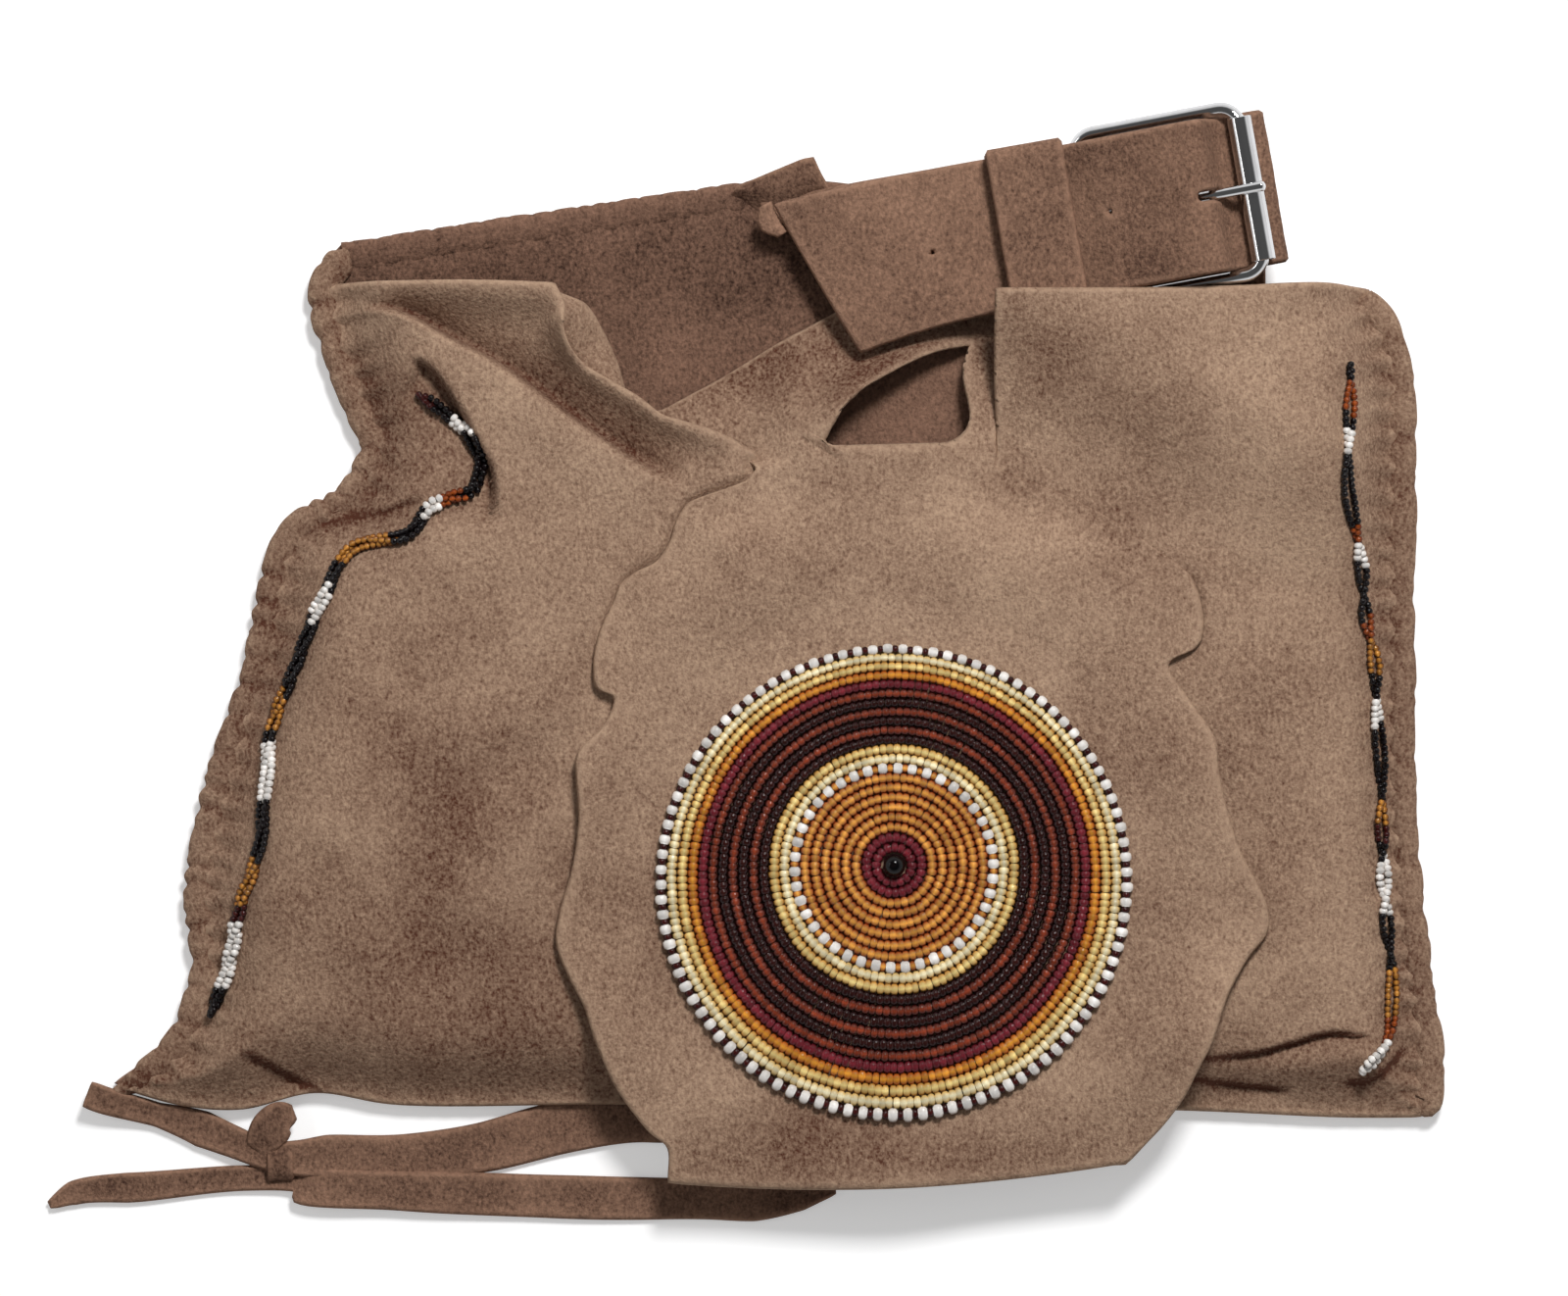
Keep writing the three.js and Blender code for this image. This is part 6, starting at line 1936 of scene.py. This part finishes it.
@dataclass
class Ties:
    """Suede thongs knotted at the bag's lower left corner."""

    width: float = 7.8
    upper: Route = (
        (-168.6, -48.4, 4.2), (-165.4, -49.6, 3.6), (-155.7, -52.3, 1.6), (-147.7, -54.7, 1.3),
        (-138.9, -58.2, 1.6), (-131, -61.2, 2.6), (-124.6, -61.7, 3.2), (-117.8, -61.3, 2.6),
        (-102.3, -61.7, 1.6), (-86.5, -59.6, 1.1), (-70.7, -55.6, 1.1), (-55.1, -53.2, 1.1),
        (-47.5, -53.0, 1.1),
    )
    upper_width: Route = (
        (0.0, 0.62), (0.12, 0.5), (0.2, 0.85), (0.32, 0.62), (0.42, 1.0), (0.7, 1.2), (1.0, 1.3),
    )
    lower: Route = (
        (-176.8, -71.4, 1.1), (-171.3, -68.9, 1.1), (-157.2, -67.8, 1.1), (-136.7, -66, 1.1),
        (-125.6, -66.4, 1.6), (-123.4, -67.4, 2.6), (-104, -68.6, 2.4), (-86.5, -69.3, 1.6),
        (-60, -70.2, 1.1), (-39.3, -70.3, 1.1), (-27, -70.4, 1.1), (-12.7, -68.4, 1.1),
    )
    lower_width: Route = ((0.0, 0.15), (0.03, 0.5), (0.1, 0.66), (0.22, 0.56), (0.316, 0.46), (0.324, 0.9),
                          (0.6, 1.0), (0.9, 1.0), (0.96, 0.7), (1.0, 0.2))

    def thong(self, name: str, route: Route, widths: Route, seed: float) -> tuple[bpy.types.Object, Array]:
        """Make one flat thong.

        Args:
            name: Name of the piece.
            route: Points of its middle line.
            widths: Shares of the way along it, and its width there.
            seed: Seed of its small waves.

        Returns:
            The piece and its middle line in metres.
        """
        length = float(np.linalg.norm(np.diff(np.array(route), axis=0), axis=1).sum())
        path = curve(route, int(length / 0.8))
        share = np.linspace(0.0, 1.0, len(path))
        way = np.gradient(path, axis=0)
        way[:, 2] = 0.0
        way /= np.linalg.norm(way, axis=1, keepdims=True)
        side = np.stack([-way[:, 1], way[:, 0], np.zeros(len(path))], axis=1)
        sway = np.array([noise.noise(Vector((t * length / 21.0, seed, 0.0))) for t in share])
        half = self.width / 2 * (1.0 + 0.1 * sway)
        half *= np.interp(share, *np.array(widths).T)
        across = np.linspace(-1.0, 1.0, 15)
        cup = 0.28 * (across[None] ** 2 - 0.4) + 0.25 * sway[:, None] * across[None]
        top = path[:, None] + side[:, None] * (across[None] * half[:, None])[..., None]
        top[..., 2] += np.maximum(cup, -0.1) + SUEDE / 2
        flat = top[..., :2].reshape(-1, 2)
        shade = -0.1 + 0.25 * wander(flat, 12.0, seed) + 0.15 * np.abs(np.tile(across, len(path)))
        piece = suede_piece(name, top[:, ::-1], top[:, ::-1] - np.array([0.0, 0.0, SUEDE]), shade)
        return piece, path * MM

    def knot(self, finish: bpy.types.Material) -> list[bpy.types.Object]:
        """Lay the flat turn that holds both thongs, with a loose loop standing out of it."""
        spin = np.linspace(-math.pi / 2 + 0.1, 1.5 * math.pi - 0.1, 60)
        heading = math.radians(2.0)
        along = np.array([math.cos(heading), math.sin(heading), 0.0])
        cross = np.array([-along[1], along[0], 0.0])
        middle = np.array([-128.6, -63.0, 2.6])
        across = np.linspace(-2.4, 2.4, 11)
        grids = []
        for extra in (0.0, -WORN_SUEDE):
            ring = np.outer(np.cos(spin) * (3.4 + extra), cross)
            ring[:, 2] += np.sin(spin) * (2.2 + extra)
            grids.append(middle + ring[:, None] + across[None, :, None] * along)
        shade = -0.25 + 0.2 * wander(grids[0][..., :2].reshape(-1, 2), 7.0, 2.0)
        wrap = suede_piece("thong_knot_suede", grids[0], grids[1], shade)
        seat(wrap, finish, "root", Slot.STRAP, "thong_knot")
        route = [[-133.8, -59.8, 3.4], [-131.5, -56.8, 4.6], [-128.6, -53.2, 5.2], [-126.2, -52.2, 4.6]]
        spine = curve(route, 26)
        share = np.linspace(0.0, 1.0, len(spine))
        way = headings(spine)
        side = np.stack([-way[:, 1], way[:, 0], np.zeros(len(spine))], axis=1)
        half = 3.3 * np.sin(math.pi * (0.12 + 0.82 * share)) ** 0.7 + 0.4
        span = np.linspace(1.0, -1.0, 13)
        top = spine[:, None] + side[:, None] * (span[None] * half[:, None])[..., None]
        shade = -0.2 + 0.2 * wander(top[..., :2].reshape(-1, 2), 7.0, 3.0)
        loop = suede_piece("thong_loop_suede", top, top - np.array([0.0, 0.0, SUEDE]), shade)
        seat(loop, finish, "root", Slot.STRAP)
        return [wrap, loop]

    def build(self, finish: bpy.types.Material) -> None:
        knot = self.knot(finish)
        runs = (
            ("thong_upper", self.upper, self.upper_width, knot, ("thong_corner", "thong_flap_side")),
            ("thong_lower", self.lower[::-1], [(1 - t, w) for t, w in self.lower_width[::-1]], [],
             ("thong_right_tail", "thong_left_tail")),
        )
        for number, (name, route, widths, pieces, nodes) in enumerate(runs):
            piece, path = self.thong(name, route, widths, 3.0 + number)
            seat(piece, finish, "root", Slot.STRAP, *nodes)


def main() -> None:
    """Build the bag piece by piece."""
    logging.basicConfig(level=logging.INFO, format="%(message)s")
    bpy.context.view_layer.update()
    Studio().build()
    finishes = Finishes()
    Ties().build(finishes.strap)
    BackPanel().build(finishes.inner)
    front = FrontPanel()
    front.build(finishes.bag)
    HEM_ROLL.build(finishes.inner)
    LEFT_ROLL.build(finishes.bag)
    RIGHT_ROLL.build(finishes.bag)
    Flap().build(finishes.bag)
    Rosette().build(finishes.beads)
    for string in (LEFT_STRING, RIGHT_STRING):
        string.build(front, finishes.beads)
    strap = Strap()
    strap.build(finishes.strap)
    Buckle(strap).build(finishes.chrome)


if __name__ == "__main__":
    main()
